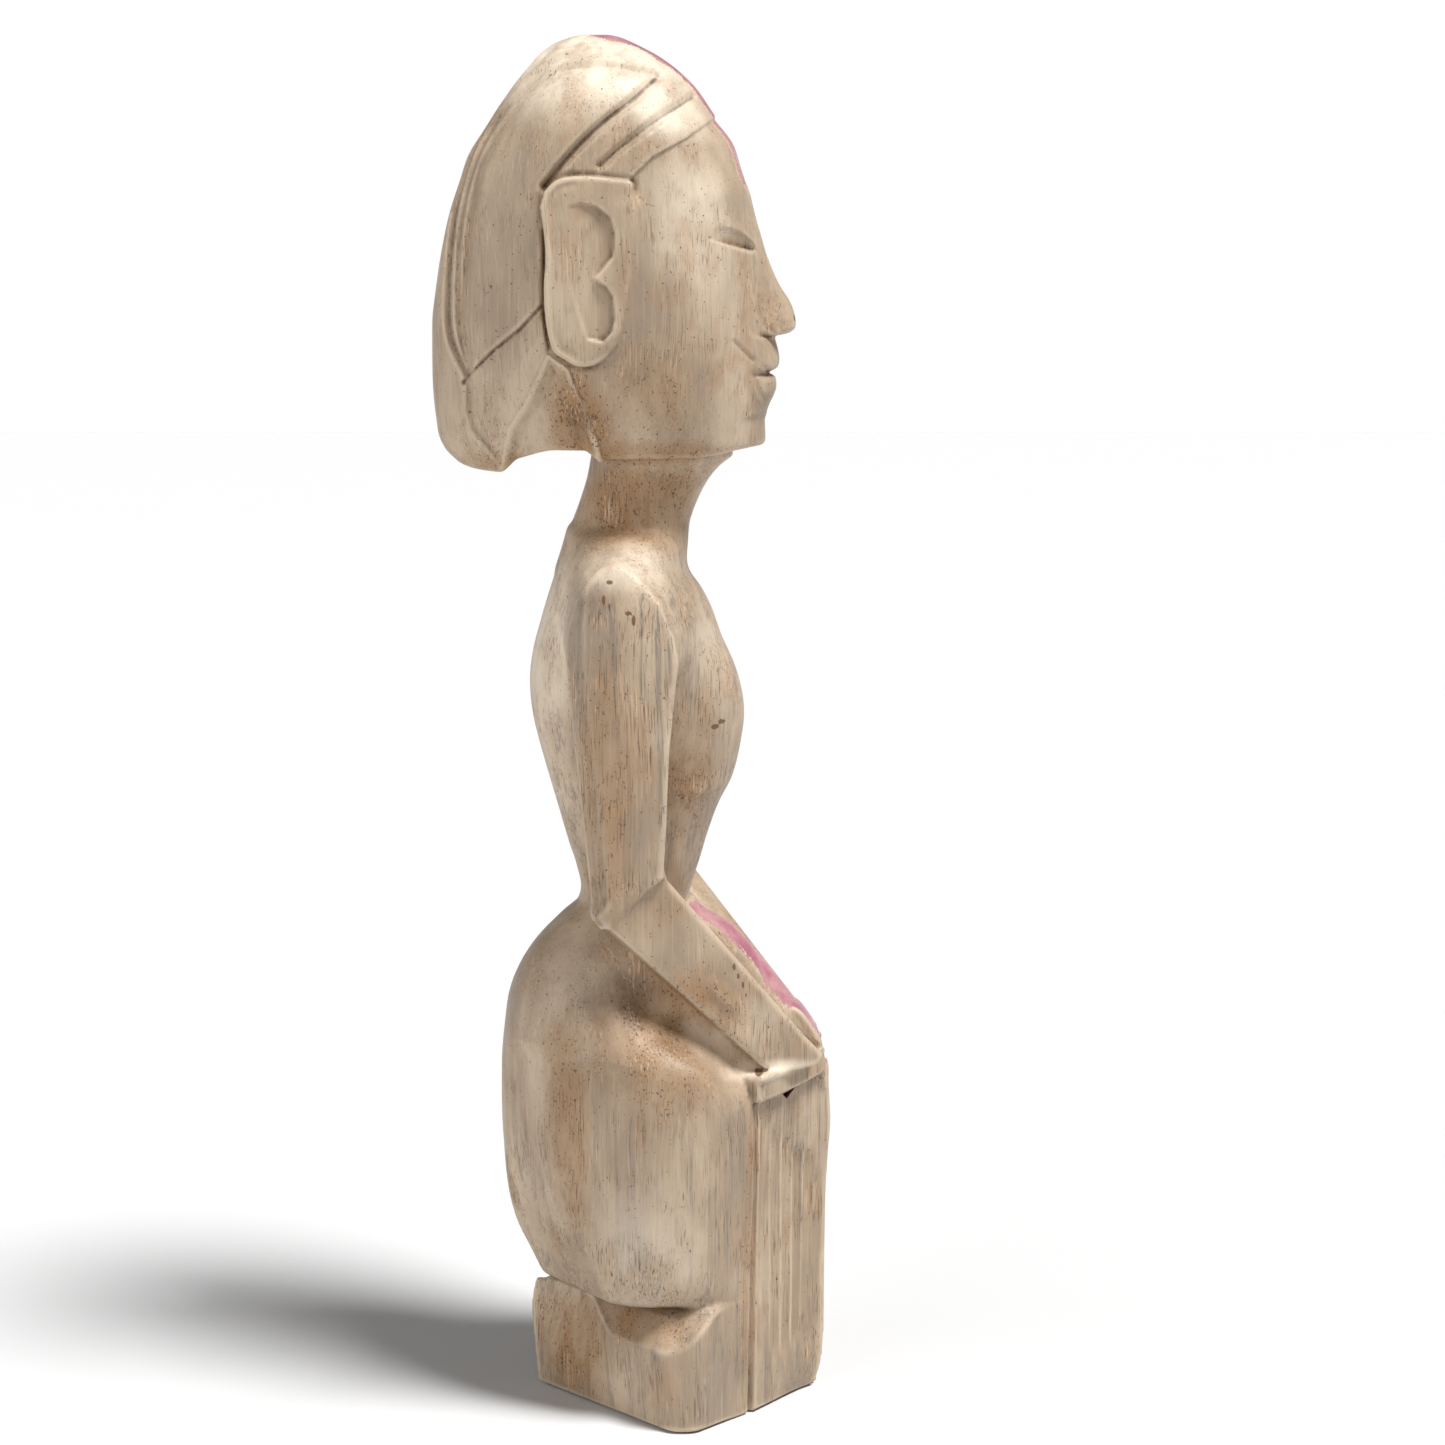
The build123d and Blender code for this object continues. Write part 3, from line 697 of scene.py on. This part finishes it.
def cut_out(body, name, cutter):
    """Takes what lies inside the cutter off the body, as a piece of its own."""
    inside = clipped(body, cutter, "INTERSECT")
    outside = clipped(body, cutter, "DIFFERENCE")
    old = body.data
    body.data = outside
    bpy.data.meshes.remove(old)
    bpy.data.objects.remove(cutter)
    inside.name = name
    return placed(name, inside)


def grown(outline, by):
    """A closed outline moved out by a distance."""
    points = np.asarray(outline, float)
    after = np.roll(points, -1, axis=0) - points
    before = points - np.roll(points, 1, axis=0)
    after /= np.linalg.norm(after, axis=1)[:, None]
    before /= np.linalg.norm(before, axis=1)[:, None]
    turn = after + before
    turn /= np.linalg.norm(turn, axis=1)[:, None]
    u, v = points.T
    area = np.sum(u * np.roll(v, -1) - np.roll(u, -1) * v)
    out = np.stack([turn[:, 1], -turn[:, 0]], axis=1) * np.sign(area)
    return (points + out * by).tolist()


def along_panel(u, out):
    """Place in plan that is u along a pleat panel from its groove and out from its face."""
    return PLEAT_A - FACE_F * u + FACE_A * out, 33.0 + FACE_A * u + FACE_F * out


def forearm_cutter(sign):
    """Box around a forearm, from the elbow to where the wrist meets the hand."""
    elbow, wrist = ELBOW - 16 * FOREARM_AXIS, WRIST + 15 * FOREARM_AXIS
    rings = []
    for place, wide, thick in ((elbow, 11.2, 15.6), (wrist, 9.8, 11.0)):
        corners = ((-1, -1), (1, -1), (1, 1), (-1, 1))
        ring = [place + i * wide * FOREARM_SIDE + j * thick * FOREARM_UP for i, j in corners]
        rings.append([(sign * p[0], p[1], p[2]) for p in ring])
    return prism(*rings)


def hand_cutter(sign):
    """Block around a hand, which follows the line of its fingers along the pleat panel."""
    low = [(u, z - 6.2) for u, z in HAND_LINE[:-1]] + [(38.5, 123.6)]
    high = [(38.5, 137.0)] + [(u, z + 7.4) for u, z in HAND_LINE[-2::-1]]
    sides = []
    for out in (-12, 9):
        plan = [along_panel(u, out) for u, _ in low + high]
        sides.append([(sign * x, f, z) for (x, f), (_, z) in zip(plan, low + high)])
    return prism(*sides)


def panel_cutter(sign):
    """Block around a pleat panel, up to the middle of the front."""
    corners = [along_panel(-0.9, 6), along_panel(-0.9, -13), along_panel(36, -13), (2, 52), (2, 70)]
    corners.append(along_panel(34, 20))
    return plan_prism([(sign * max(x, 0.0), f) for x, f in corners], -2, 129)


def cut_figure(body):
    """The eighteen carved forms, which meet along the creases between them."""
    pieces = {}

    def take(name, source, cutter):
        pieces[name] = cut_out(source, "doll_" + name, cutter)

    top = [(-95, 344), (-33, 344), (-29, 352.3), (24, 352.3), (33, 354), (60, 354), (60, 510), (-95, 510)]
    head = cut_out(body, "doll_head", side_prism(top, -70, 70))
    for side, sign in SIDES:
        take("ear_" + side, head, side_prism(grown(EAR, 0.7), sign * 37.5, sign * 60))
    take("hair", head, side_prism(grown(HAIR_SHAPE, -0.3), -70, 70))
    pieces["head"] = head
    take("neck", body, side_prism([(-60, 319.5), (40, 319.5), (40, 380), (-60, 380)], -40, 40))
    for side, sign in SIDES:
        take("upper_arm_" + side, body, side_prism(grown(ARM_OUTLINE, 1.1), sign * 34, sign * 60))
    for side, sign in SIDES:
        take("hand_" + side, body, hand_cutter(sign))
    for side, sign in SIDES:
        take("forearm_" + side, body, forearm_cutter(sign))
    lap = [(44, 131), (68, 131), (68, 150), (42, 176), (28, 189.3), (0, 189.3), (8, 178), (22, 163), (38, 145)]
    take("sash_lap", body, side_prism(lap, -11.6, 11.6))
    take("sash_tail", body, side_prism([(47, 53), (68, 53), (68, 131), (47, 131)], -5.6, 5.6))
    for side, sign in SIDES:
        take("pleat_panel_" + side, body, panel_cutter(sign))
    take("torso", body, side_prism([(-70, 189.3), (50, 189.3), (50, 330), (-70, 330)], -60, 60))
    base = [(-70, -5), (70, -5), (70, CREASE_Z), (-70, CREASE_Z)]
    pieces["base_block"] = cut_out(body, "doll_base", side_prism(base, -60, 60))
    pieces["skirt"] = body
    return pieces


# ---- materials
class Graph:
    """Short way to write the nodes of a material."""

    def __init__(self, name):
        self.material = bpy.data.materials.new(name)
        self.material.use_nodes = True
        self.nodes = self.material.node_tree.nodes
        self.links = self.material.node_tree.links
        self.shader = self.nodes["Principled BSDF"]

    def put(self, socket, value):
        """Links the socket to another one, or sets its value."""
        if isinstance(value, bpy.types.NodeSocket):
            self.links.new(value, socket)
        else:
            socket.default_value = value

    def node(self, kind, inputs=(), **settings):
        node = self.nodes.new(kind)
        for key, value in settings.items():
            setattr(node, key, value)
        for key, value in dict(inputs).items():
            self.put(node.inputs[key], value)
        return node

    def math(self, operation, a, b):
        return self.node("ShaderNodeMath", {0: a, 1: b}, operation=operation).outputs[0]

    def times(self, a, b):
        return self.math("MULTIPLY", a, b)

    def plus(self, a, b):
        return self.math("ADD", a, b)

    def minus(self, a, b):
        return self.math("SUBTRACT", a, b)

    def vector_math(self, operation, a, b):
        return self.node("ShaderNodeVectorMath", {0: a, 1: b}, operation=operation).outputs[0]

    def scaled(self, vector, by):
        return self.vector_math("MULTIPLY", vector, by)

    def noise(self, vector, detail=2.0, rough=0.5):
        inputs = {"Vector": vector, "Scale": 1.0, "Detail": detail, "Roughness": rough}
        return self.node("ShaderNodeTexNoise", inputs).outputs["Fac"]

    def span(self, value, low, high, start=0.0, end=1.0):
        """Smooth step from start to end as the value goes from low to high."""
        inputs = {"Value": value, "From Min": low, "From Max": high, "To Min": start, "To Max": end}
        return self.node("ShaderNodeMapRange", inputs, interpolation_type="SMOOTHSTEP").outputs[0]

    def mix(self, factor, a, b):
        node = self.node("ShaderNodeMix", data_type="RGBA")
        self.put(node.inputs[0], factor)
        self.put(node.inputs[6], a)
        self.put(node.inputs[7], b)
        return node.outputs[2]

    def attribute(self, name):
        return self.node("ShaderNodeAttribute", attribute_name=name).outputs["Fac"]


CREAM = (0.57, 0.452, 0.328, 1)
BEIGE = (0.350, 0.256, 0.172, 1)
GREY = (0.190, 0.160, 0.130, 1)
BROWN = (0.285, 0.150, 0.054, 1)
DARK = (0.07, 0.038, 0.02, 1)
ASH = (0.26, 0.208, 0.158, 1)
TAN = (0.35, 0.225, 0.13, 1)
RUST = (0.36, 0.205, 0.105, 1)
FIBRE = (0.30, 0.205, 0.13, 1)
PALE_LIT_TONE = (0.84, 0.72, 0.57, 1)
CHAR = (0.13, 0.045, 0.02, 1)
GROUND = (0.74, 0.56, 0.40, 1)
PINK = (0.34, 0.120, 0.165, 1)
PALE_PINK = (0.50, 0.27, 0.27, 1)
DEEP_PINK = (0.30, 0.085, 0.12, 1)


def wooden(name, painted):
    """Bleached carved wood: long grey streaks, pores, stains, pale patches, painted shade in the creases and
    hollows with dirt in the broad hollows, and painted highlights on the ridges, edges and tops.
    """
    g = Graph(name)
    place = g.node("ShaderNodeTexCoord").outputs["Object"]
    mm = g.scaled(place, (1000, 1000, 1000))
    slow = {"Vector": g.scaled(mm, (0.022, 0.022, 0.007)), "Scale": 1.0, "Detail": 2.0}
    wander = g.node("ShaderNodeTexNoise", slow).outputs["Color"]
    shift = g.vector_math("SUBTRACT", wander, (0.5, 0.5, 0.5))
    bent = g.vector_math("ADD", mm, g.scaled(shift, (13, 13, 0)))

    broad = g.noise(g.scaled(mm, (0.03, 0.03, 0.014)), 3, 0.55)
    patch = g.noise(g.scaled(mm, (0.075, 0.075, 0.05)), 4, 0.6)
    streak = g.noise(g.scaled(bent, (0.30, 0.30, 0.0075)), 4, 0.6)
    fine = g.noise(g.scaled(bent, (1.15, 1.15, 0.016)), 4, 0.62)
    thread = g.noise(g.scaled(bent, (2.6, 2.6, 0.05)), 3, 0.6)
    pore = g.noise(g.scaled(bent, (2.3, 2.3, 0.085)), 1, 0.4)
    dots = g.noise(g.scaled(mm, (1.1, 1.1, 0.9)), 1, 0.5)
    tooling = g.noise(g.scaled(mm, (0.11, 0.11, 0.05)), 2, 0.5)

    colour = g.mix(g.span(broad, 0.38, 0.72, 0, 0.85), BEIGE, CREAM)
    colour = g.mix(g.span(broad, 0.48, 0.32, 0, 0.60), colour, ASH)
    colour = g.mix(g.span(patch, 0.48, 0.70, 0, 0.65), colour, TAN)
    blotch = g.noise(g.scaled(mm, (0.055, 0.055, 0.035)), 3, 0.6)
    colour = g.mix(g.span(blotch, 0.58, 0.74, 0, 0.5), colour, RUST)
    lines = g.times(g.span(streak, 0.44, 0.64), g.span(fine, 0.42, 0.60, 0.12, 1.0))
    lines = g.times(lines, g.span(patch, 0.30, 0.55, 0.45, 1.0))
    plain = g.attribute("plain")
    open_grain = g.minus(1.0, plain)
    lines = g.times(lines, open_grain)
    colour = g.mix(g.times(lines, 0.85), colour, GREY)
    colour = g.mix(g.span(thread, 0.52, 0.70, 0, 0.40), colour, FIBRE)
    colour = g.mix(g.span(fine, 0.44, 0.32, 0, 0.30), colour, CREAM)
    # pale patches in the wood, and painted highlight on the tops, lightened towards a pale cream
    pale_and_lit = g.times(g.attribute("pale"), g.span(patch, 0.66, 0.36, 0.45, 0.95))
    colour = g.mix(pale_and_lit, colour, PALE_LIT_TONE)
    stain = g.times(g.attribute("stain"), g.span(patch, 0.30, 0.62, 0.45, 1.0))
    colour = g.mix(g.times(stain, 0.92), colour, BROWN)

    fold = g.attribute("cavity")
    wide_fold = g.attribute("shelter")
    # painted highlight: ridges and outer edges, where the cavity value is high, are lightened to cream
    colour = g.mix(g.span(fold, 0.10, 0.50, 0, 0.70), colour, CREAM)
    # painted shade in broad hollows, darkened to brown together with the dirt that gathers there
    hollow_shade_and_dirt = g.times(g.span(wide_fold, -0.25, -2.0), g.span(patch, 0.25, 0.7, 0.55, 1.0))
    colour = g.mix(g.times(hollow_shade_and_dirt, 0.60), colour, BROWN)
    # painted shade: narrow creases and hollows, where the cavity value is low, are darkened, broken up by
    # noise
    crease_shade = g.times(g.span(fold, -0.16, -0.75), g.span(dots, 0.30, 0.62, 0.45, 1.0))
    colour = g.mix(g.times(crease_shade, 0.72), colour, DARK)
    # painted shade in the knife cuts and along the crease above the base, and the dark patches, all from the
    # line attribute
    groove_shade = g.times(g.span(g.attribute("line"), 0.15, 0.75), g.span(patch, 0.35, 0.62, 0.25, 0.95))
    colour = g.mix(groove_shade, colour, DARK)

    pores = g.times(g.span(pore, 0.60, 0.70), g.span(patch, 0.40, 0.62, 0.10, 1.0))
    pores = g.times(pores, g.plus(0.35, g.times(open_grain, 0.65)))
    colour = g.mix(g.times(pores, 0.70), colour, DARK)
    speck_place = g.plus(g.times(stain, 0.10), g.span(patch, 0.45, 0.75, 0, 0.05))
    speck_place = g.plus(speck_place, g.times(plain, 0.02))
    specks = g.span(g.plus(dots, speck_place), 0.73, 0.78)
    colour = g.mix(g.times(specks, 0.75), colour, DARK)
    scar = g.times(g.attribute("scar"), g.span(dots, 0.2, 0.6, 0.6, 1.0))
    colour = g.mix(g.span(scar, 0.35, 0.55, 0, 0.85), colour, CHAR)

    rough = g.span(fine, 0.3, 0.7, 0.40, 0.54)
    paint = g.attribute("paint")
    ragged = g.plus(paint, g.span(patch, 0.3, 0.7, -0.22, 0.22))
    ragged = g.plus(ragged, g.span(fine, 0.3, 0.7, -0.20, 0.20))
    ragged = g.minus(ragged, g.span(fold, 0.15, 0.6, 0.0, 0.5))
    cover = g.span(ragged, 0.42 if painted else 0.50, 0.56 if painted else 0.68)
    halo = g.span(ragged, 0.18, 0.46, 0, 0.45)
    colour = g.mix(halo, colour, GROUND)
    paint_colour = g.mix(g.span(patch, 0.34, 0.64), PINK, PALE_PINK)
    paint_colour = g.mix(g.span(fine, 0.56, 0.74, 0, 0.5), paint_colour, DEEP_PINK)
    colour = g.mix(cover, colour, paint_colour)

    g.put(g.shader.inputs["Base Color"], colour)
    g.put(g.shader.inputs["Roughness"], g.minus(rough, g.times(cover, 0.10)))
    g.shader.inputs["Specular IOR Level"].default_value = 0.42
    relief = g.times(g.minus(fine, 0.5), 0.16)
    relief = g.plus(relief, g.times(g.minus(thread, 0.5), 0.10))
    relief = g.minus(relief, g.times(pores, 0.16))
    relief = g.minus(relief, g.times(specks, 0.20))
    relief = g.plus(relief, g.times(tooling, 1.3))
    relief = g.plus(relief, g.times(cover, 0.12))
    relief = g.times(relief, MM)
    bump = g.node("ShaderNodeBump", {"Height": relief, "Strength": 0.85, "Distance": 1.0})
    g.put(g.shader.inputs["Normal"], bump.outputs["Normal"])
    return g.material


wood = wooden("bleached_wood", False)
paint = wooden("pink_painted_wood", True)

# soft spots: (a, f, z) of the middle, reach, strength
STAINS = [
    ((22, -38, 22), (24, 22, 24), 1.0),
    ((38, -12, 38), (20, 24, 9), 0.9),
    ((34, -30, 362), (20, 14, 26), 1.0),
    ((14, -46, 350), (24, 26, 7), 0.9),
    ((30, -8, 354), (22, 34, 7), 1.0),
    ((16, -8, 336), (18, 30, 20), 1.0),
    ((40, 2, 372), (12, 34, 20), 0.55),
    ((30, 8, 236), (16, 18, 30), 0.75),
    ((26, -14, 196), (26, 30, 16), 0.9),
    ((44, 6, 154), (20, 30, 18), 1.0),
    ((50, -4, 140), (12, 34, 26), 0.5),
    ((46, -12, 404), (8, 5, 26), 0.6),
    ((52, -22, 235), (8, 14, 60), 0.55),
    ((42, -40, 110), (12, 14, 60), 0.8),
    ((12, -50, 330), (20, 14, 40), 0.5),
    ((34, 32, 66), (6, 6, 70), 0.5),
]

# insect marks and chips on the right-hand side: (x, f, z) of the middle, reach
SCARS = [
    ((-50, -10.6, 299), (5, 0.9, 2.4)),
    ((-50, -12.4, 301.4), (5, 1.5, 1.0)),
    ((-21, 18.6, 256), (9, 1.9, 1.2)),
    ((-21, 21.0, 257.6), (9, 1.9, 1.2)),
    ((-34, 25.4, 171), (14, 0.6, 1.7)),
    ((-33, 27.0, 167.4), (14, 0.6, 1.4)),
    ((-32, 28.6, 164), (14, 0.6, 1.8)),
    ((-31, 29.8, 160), (14, 0.5, 1.1)),
    ((0, 47.2, 401.5), (7, 1.3, 2.2)),
    ((-31, 34.6, 130.6), (6, 2.2, 1.2)),
    ((-46, -19, 312), (7, 1.6, 0.9)),
    ((-48, -21, 306), (5, 0.8, 2.4)),
    ((-48, -19, 303.5), (5, 0.6, 2.0)),
    ((-24, 14, 205), (10, 3.0, 1.0)),
    ((-47, -5, 420), (8, 1.2, 1.2)),
]

# pale spots: (a, f, z) of the middle, reach, strength; on top surfaces such as the crown, the front of the
# hair and the shoulders they are painted highlight, elsewhere they are pale patches in the wood
PALE = [
    ((16, -22, 492), (34, 52, 26), 1.0),
    ((26, 4, 476), (16, 22, 14), 0.8),
    ((34, 12, 438), (16, 24, 24), 0.55),
    ((40, -14, 316), (18, 22, 9), 0.5),
    ((20, -42, 286), (26, 14, 34), 0.6),
    ((26, 22, 282), (18, 14, 22), 0.5),
    ((30, 40, 131), (20, 20, 4), 0.9),
    ((46, -6, 66), (14, 22, 30), 0.4),
    ((36, 24, 150), (14, 26, 10), 0.4),
]

# dark patches: (a, f, z) of the middle, reach, strength; under the forearms, at the back of the waist, by the
# ears and at the back of the shoulders
DARK_PATCHES = [
    ((44, -14, 160), (26, 26, 17), 0.46),
    ((40, 8, 147), (22, 22, 10), 0.40),
    ((20, -36, 194), (16, 14, 7), 0.36),
    ((34, -30, 366), (16, 7, 12), 0.40),
    ((46, -30, 410), (10, 6, 26), 0.25),
    ((48, -26, 306), (8, 14, 10), 0.36),
]


# width and strength of the painted shade in the groove of each strand
STRAND_SHADE = [(1.1, 0.6), (1.3, 0.9), (0.8, 0.25), (0.8, 0.25), (0.8, 0.3)]


def knife_cut_shade(f, z):
    """Painted shade in the knife cuts of the head: how dark each point is made, from 0 to 1."""
    lines = [(strand[0], *strand_shade) for strand, strand_shade in zip(STRANDS, STRAND_SHADE)]
    lines += [(HAIR_STEP, 1.1, 0.8), (HAIRLINE, 0.9, 0.4), (SMILE, 0.8, 0.4)]
    total = np.zeros(len(f))
    for line, width, strength in lines:
        total = np.maximum(total, strength * np.clip(1 - line_distance(f, z, line) / width, 0, 1))
    return total


def spread(points, places, mirrored):
    """How strongly soft spots at the places mark each point."""
    total = np.zeros(len(points))
    for spot in places:
        at, reach = np.array(spot[0], float), np.array(spot[1], float)
        strength = spot[2] if len(spot) > 2 else 1.0
        p = np.abs(points) * [1, 0, 0] + points * [0, 1, 1] if mirrored else points
        away = np.sqrt((((p - at) / reach) ** 2).sum(axis=1))
        total = np.maximum(total, strength * (1 - ramp(away, 0.35, 1.25)))
    return total


CRUMB = 20 * MM
CRUMB_VERTS = 2000


def drop_crumbs(shape, smallest):
    """Deletes loose bits shorter than smallest, left where two cutters nearly meet."""
    seen = set()
    crumbs = []
    for start in shape.verts:
        if start in seen:
            continue
        seen.add(start)
        island = [start]
        for vert in island:
            for edge in vert.link_edges:
                other = edge.other_vert(vert)
                if other not in seen:
                    seen.add(other)
                    island.append(other)
        if len(island) < CRUMB_VERTS:
            spots = np.array([vert.co for vert in island])
            if (spots.max(0) - spots.min(0)).max() < smallest:
                crumbs += island
    bmesh.ops.delete(shape, geom=crumbs, context="VERTS")


def marks(name, points, folds):
    """What the wood shows at each point of a piece, by attribute."""
    a, f, z = np.abs(points[:, 0]), points[:, 1], points[:, 2]
    values = {key: sample(array, corner, FOLD_STEP * VOXEL, points) for key, array in folds.items()}
    values["stain"] = spread(points, STAINS, True)
    values["scar"] = spread(points, SCARS, False)
    values["pale"] = spread(points, PALE, True)
    lap_and_arms = ramp(z, 100, 136) * (1 - ramp(z, 188, 198)) * (1 - ramp(f, 22, 32))
    values["plain"] = 0.62 * ramp(z, 345, 362) + 0.7 * lap_and_arms
    crown = ramp(f, -34, -20) * ramp(z, 440, 452) * (1 - ramp(a, 5, 15))
    lap = (1 - ramp(a, 6, 12)) * ramp(z, 128, 136) * (1 - ramp(z, 184, 192))
    tail = 0.8 * (1 - ramp(a, 3, 7)) * ramp(z, 112, 124)
    painted = {"sash_lap": lap, "sash_tail": tail, "hair": crown, "head": crown}
    values["paint"] = painted.get(name, 0 * a)
    # painted shade in the knife cuts of the head
    knife = knife_cut_shade(f, z) * ramp(a, 4, 8) * (z > 350)
    # painted shade along the crease between the skirt and the base, together with the dirt that sits in it
    crease = np.clip(1 - abs(z - CREASE_Z - 1.2) / 3.2, 0, 1) * (1 - ramp(f, 6, 18))
    dark_patches = spread(points, DARK_PATCHES, True)
    # line attribute: painted shade in the knife cuts, painted shade and dirt along the crease, and the dark
    # patches
    values["line"] = np.maximum(knife, np.maximum(0.7 * crease, dark_patches))
    return values


def finish_piece(name, piece, folds):
    """Gives a cut piece its shading, attributes, material and place in the frame."""
    mesh = piece.data
    shape = bmesh.new()
    shape.from_mesh(mesh)
    drop_crumbs(shape, CRUMB)
    for edge in shape.edges:
        faces = edge.link_faces
        if len(faces) == 2 and faces[0].material_index != faces[1].material_index:
            edge.smooth = False
    for face in shape.faces:
        face.smooth = face.material_index == 0
        face.material_index = 0
    shape.to_mesh(mesh)
    shape.free()
    mesh.materials.clear()
    mesh.materials.append(paint if name == "sash_lap" else wood)

    points = np.empty(len(mesh.vertices) * 3)
    mesh.vertices.foreach_get("co", points)
    points = points.reshape(-1, 3) / MM * [1, -1, 1]
    for key, value in marks(name, points, folds).items():
        layer = mesh.attributes.new(key, "FLOAT", "POINT")
        layer.data.foreach_set("value", value.astype(np.float32))
    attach(piece, "root")
    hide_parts(name)


grid, whole, corner = sculpt()
points, quads = grid.convertToQuads(0.0)[:2]
points = points * VOXEL + corner
mesh = bpy.data.meshes.new("doll_skirt")
mesh.from_pydata((points * [1, -1, 1] * MM).tolist(), [], quads.tolist())
shape = bmesh.new()
shape.from_mesh(mesh)
bmesh.ops.recalc_face_normals(shape, faces=shape.faces)
shape.to_mesh(mesh)
shape.free()
add_slots(mesh)
pieces = cut_figure(placed("doll_skirt", mesh))
coarse = whole[::FOLD_STEP, ::FOLD_STEP, ::FOLD_STEP]
near = blurred(np.clip(coarse, -NEAR_REACH, NEAR_REACH), 1)
wide = blurred(np.clip(coarse, -WIDE_REACH, WIDE_REACH), 4)
for name, piece in pieces.items():
    finish_piece(name, piece, {"cavity": near, "shelter": wide})

# ---- floor, lights and camera
floor_mesh = bpy.data.meshes.new("floor")
floor_mesh.from_pydata([(-4, -4, 0), (4, -4, 0), (4, 4, 0), (-4, 4, 0)], [], [(0, 1, 2, 3)])
floor = placed("floor", floor_mesh)
floor_look = bpy.data.materials.new("pale_floor")
floor_look.use_nodes = True
floor_shader = floor_look.node_tree.nodes["Principled BSDF"]
floor_shader.inputs["Base Color"].default_value = (0.66, 0.66, 0.66, 1)
floor_shader.inputs["Roughness"].default_value = 0.7
floor_mesh.materials.append(floor_look)

# white sky that is only bright near the horizon, so that the lamps shape the figure
world = bpy.data.worlds.new("studio")
world.use_nodes = True
sky = world.node_tree
sky_place = sky.nodes.new("ShaderNodeTexCoord")
sky_split = sky.nodes.new("ShaderNodeSeparateXYZ")
sky_band = sky.nodes.new("ShaderNodeMapRange")
sky.links.new(sky_place.outputs["Generated"], sky_split.inputs[0])
sky.links.new(sky_split.outputs["Z"], sky_band.inputs["Value"])
for socket, value in (("From Min", 0.06), ("From Max", 0.13), ("To Min", 1.0), ("To Max", 0.16)):
    sky_band.inputs[socket].default_value = value
sky.nodes["Background"].inputs["Color"].default_value = (1, 1, 1, 1)
sky.links.new(sky_band.outputs[0], sky.nodes["Background"].inputs["Strength"])
bpy.context.scene.world = world


def sun(name, direction, strength, angle):
    """Sun lamp that shines from a direction."""
    light = bpy.data.lights.new(name, "SUN")
    light.energy = strength
    light.angle = radians(angle)
    lamp = placed(name, light)
    lamp.location = Vector(direction) * 2
    lamp.rotation_euler = Vector(direction).to_track_quat("Z", "Y").to_euler()


sun("key", (-0.22, -0.38, 0.95), 4.6, 16)
sun("fill", (-0.64, 0.84, 0.30), 1.15, 60)

bpy.context.scene.view_settings.view_transform = "Standard"
camera_data = bpy.data.cameras.new("camera")
camera_data.lens = 84.4
camera_data.sensor_width = 36
camera_data.shift_x = 0.0536
camera_data.shift_y = 0.0066
camera = placed("camera", camera_data)
camera.location = (-1.220, 0.0066, 0.470)
camera.rotation_euler = Euler((radians(90 - 10.2), 0, radians(-90)))  # looks along +X, 10.2 degrees down
bpy.context.scene.camera = camera
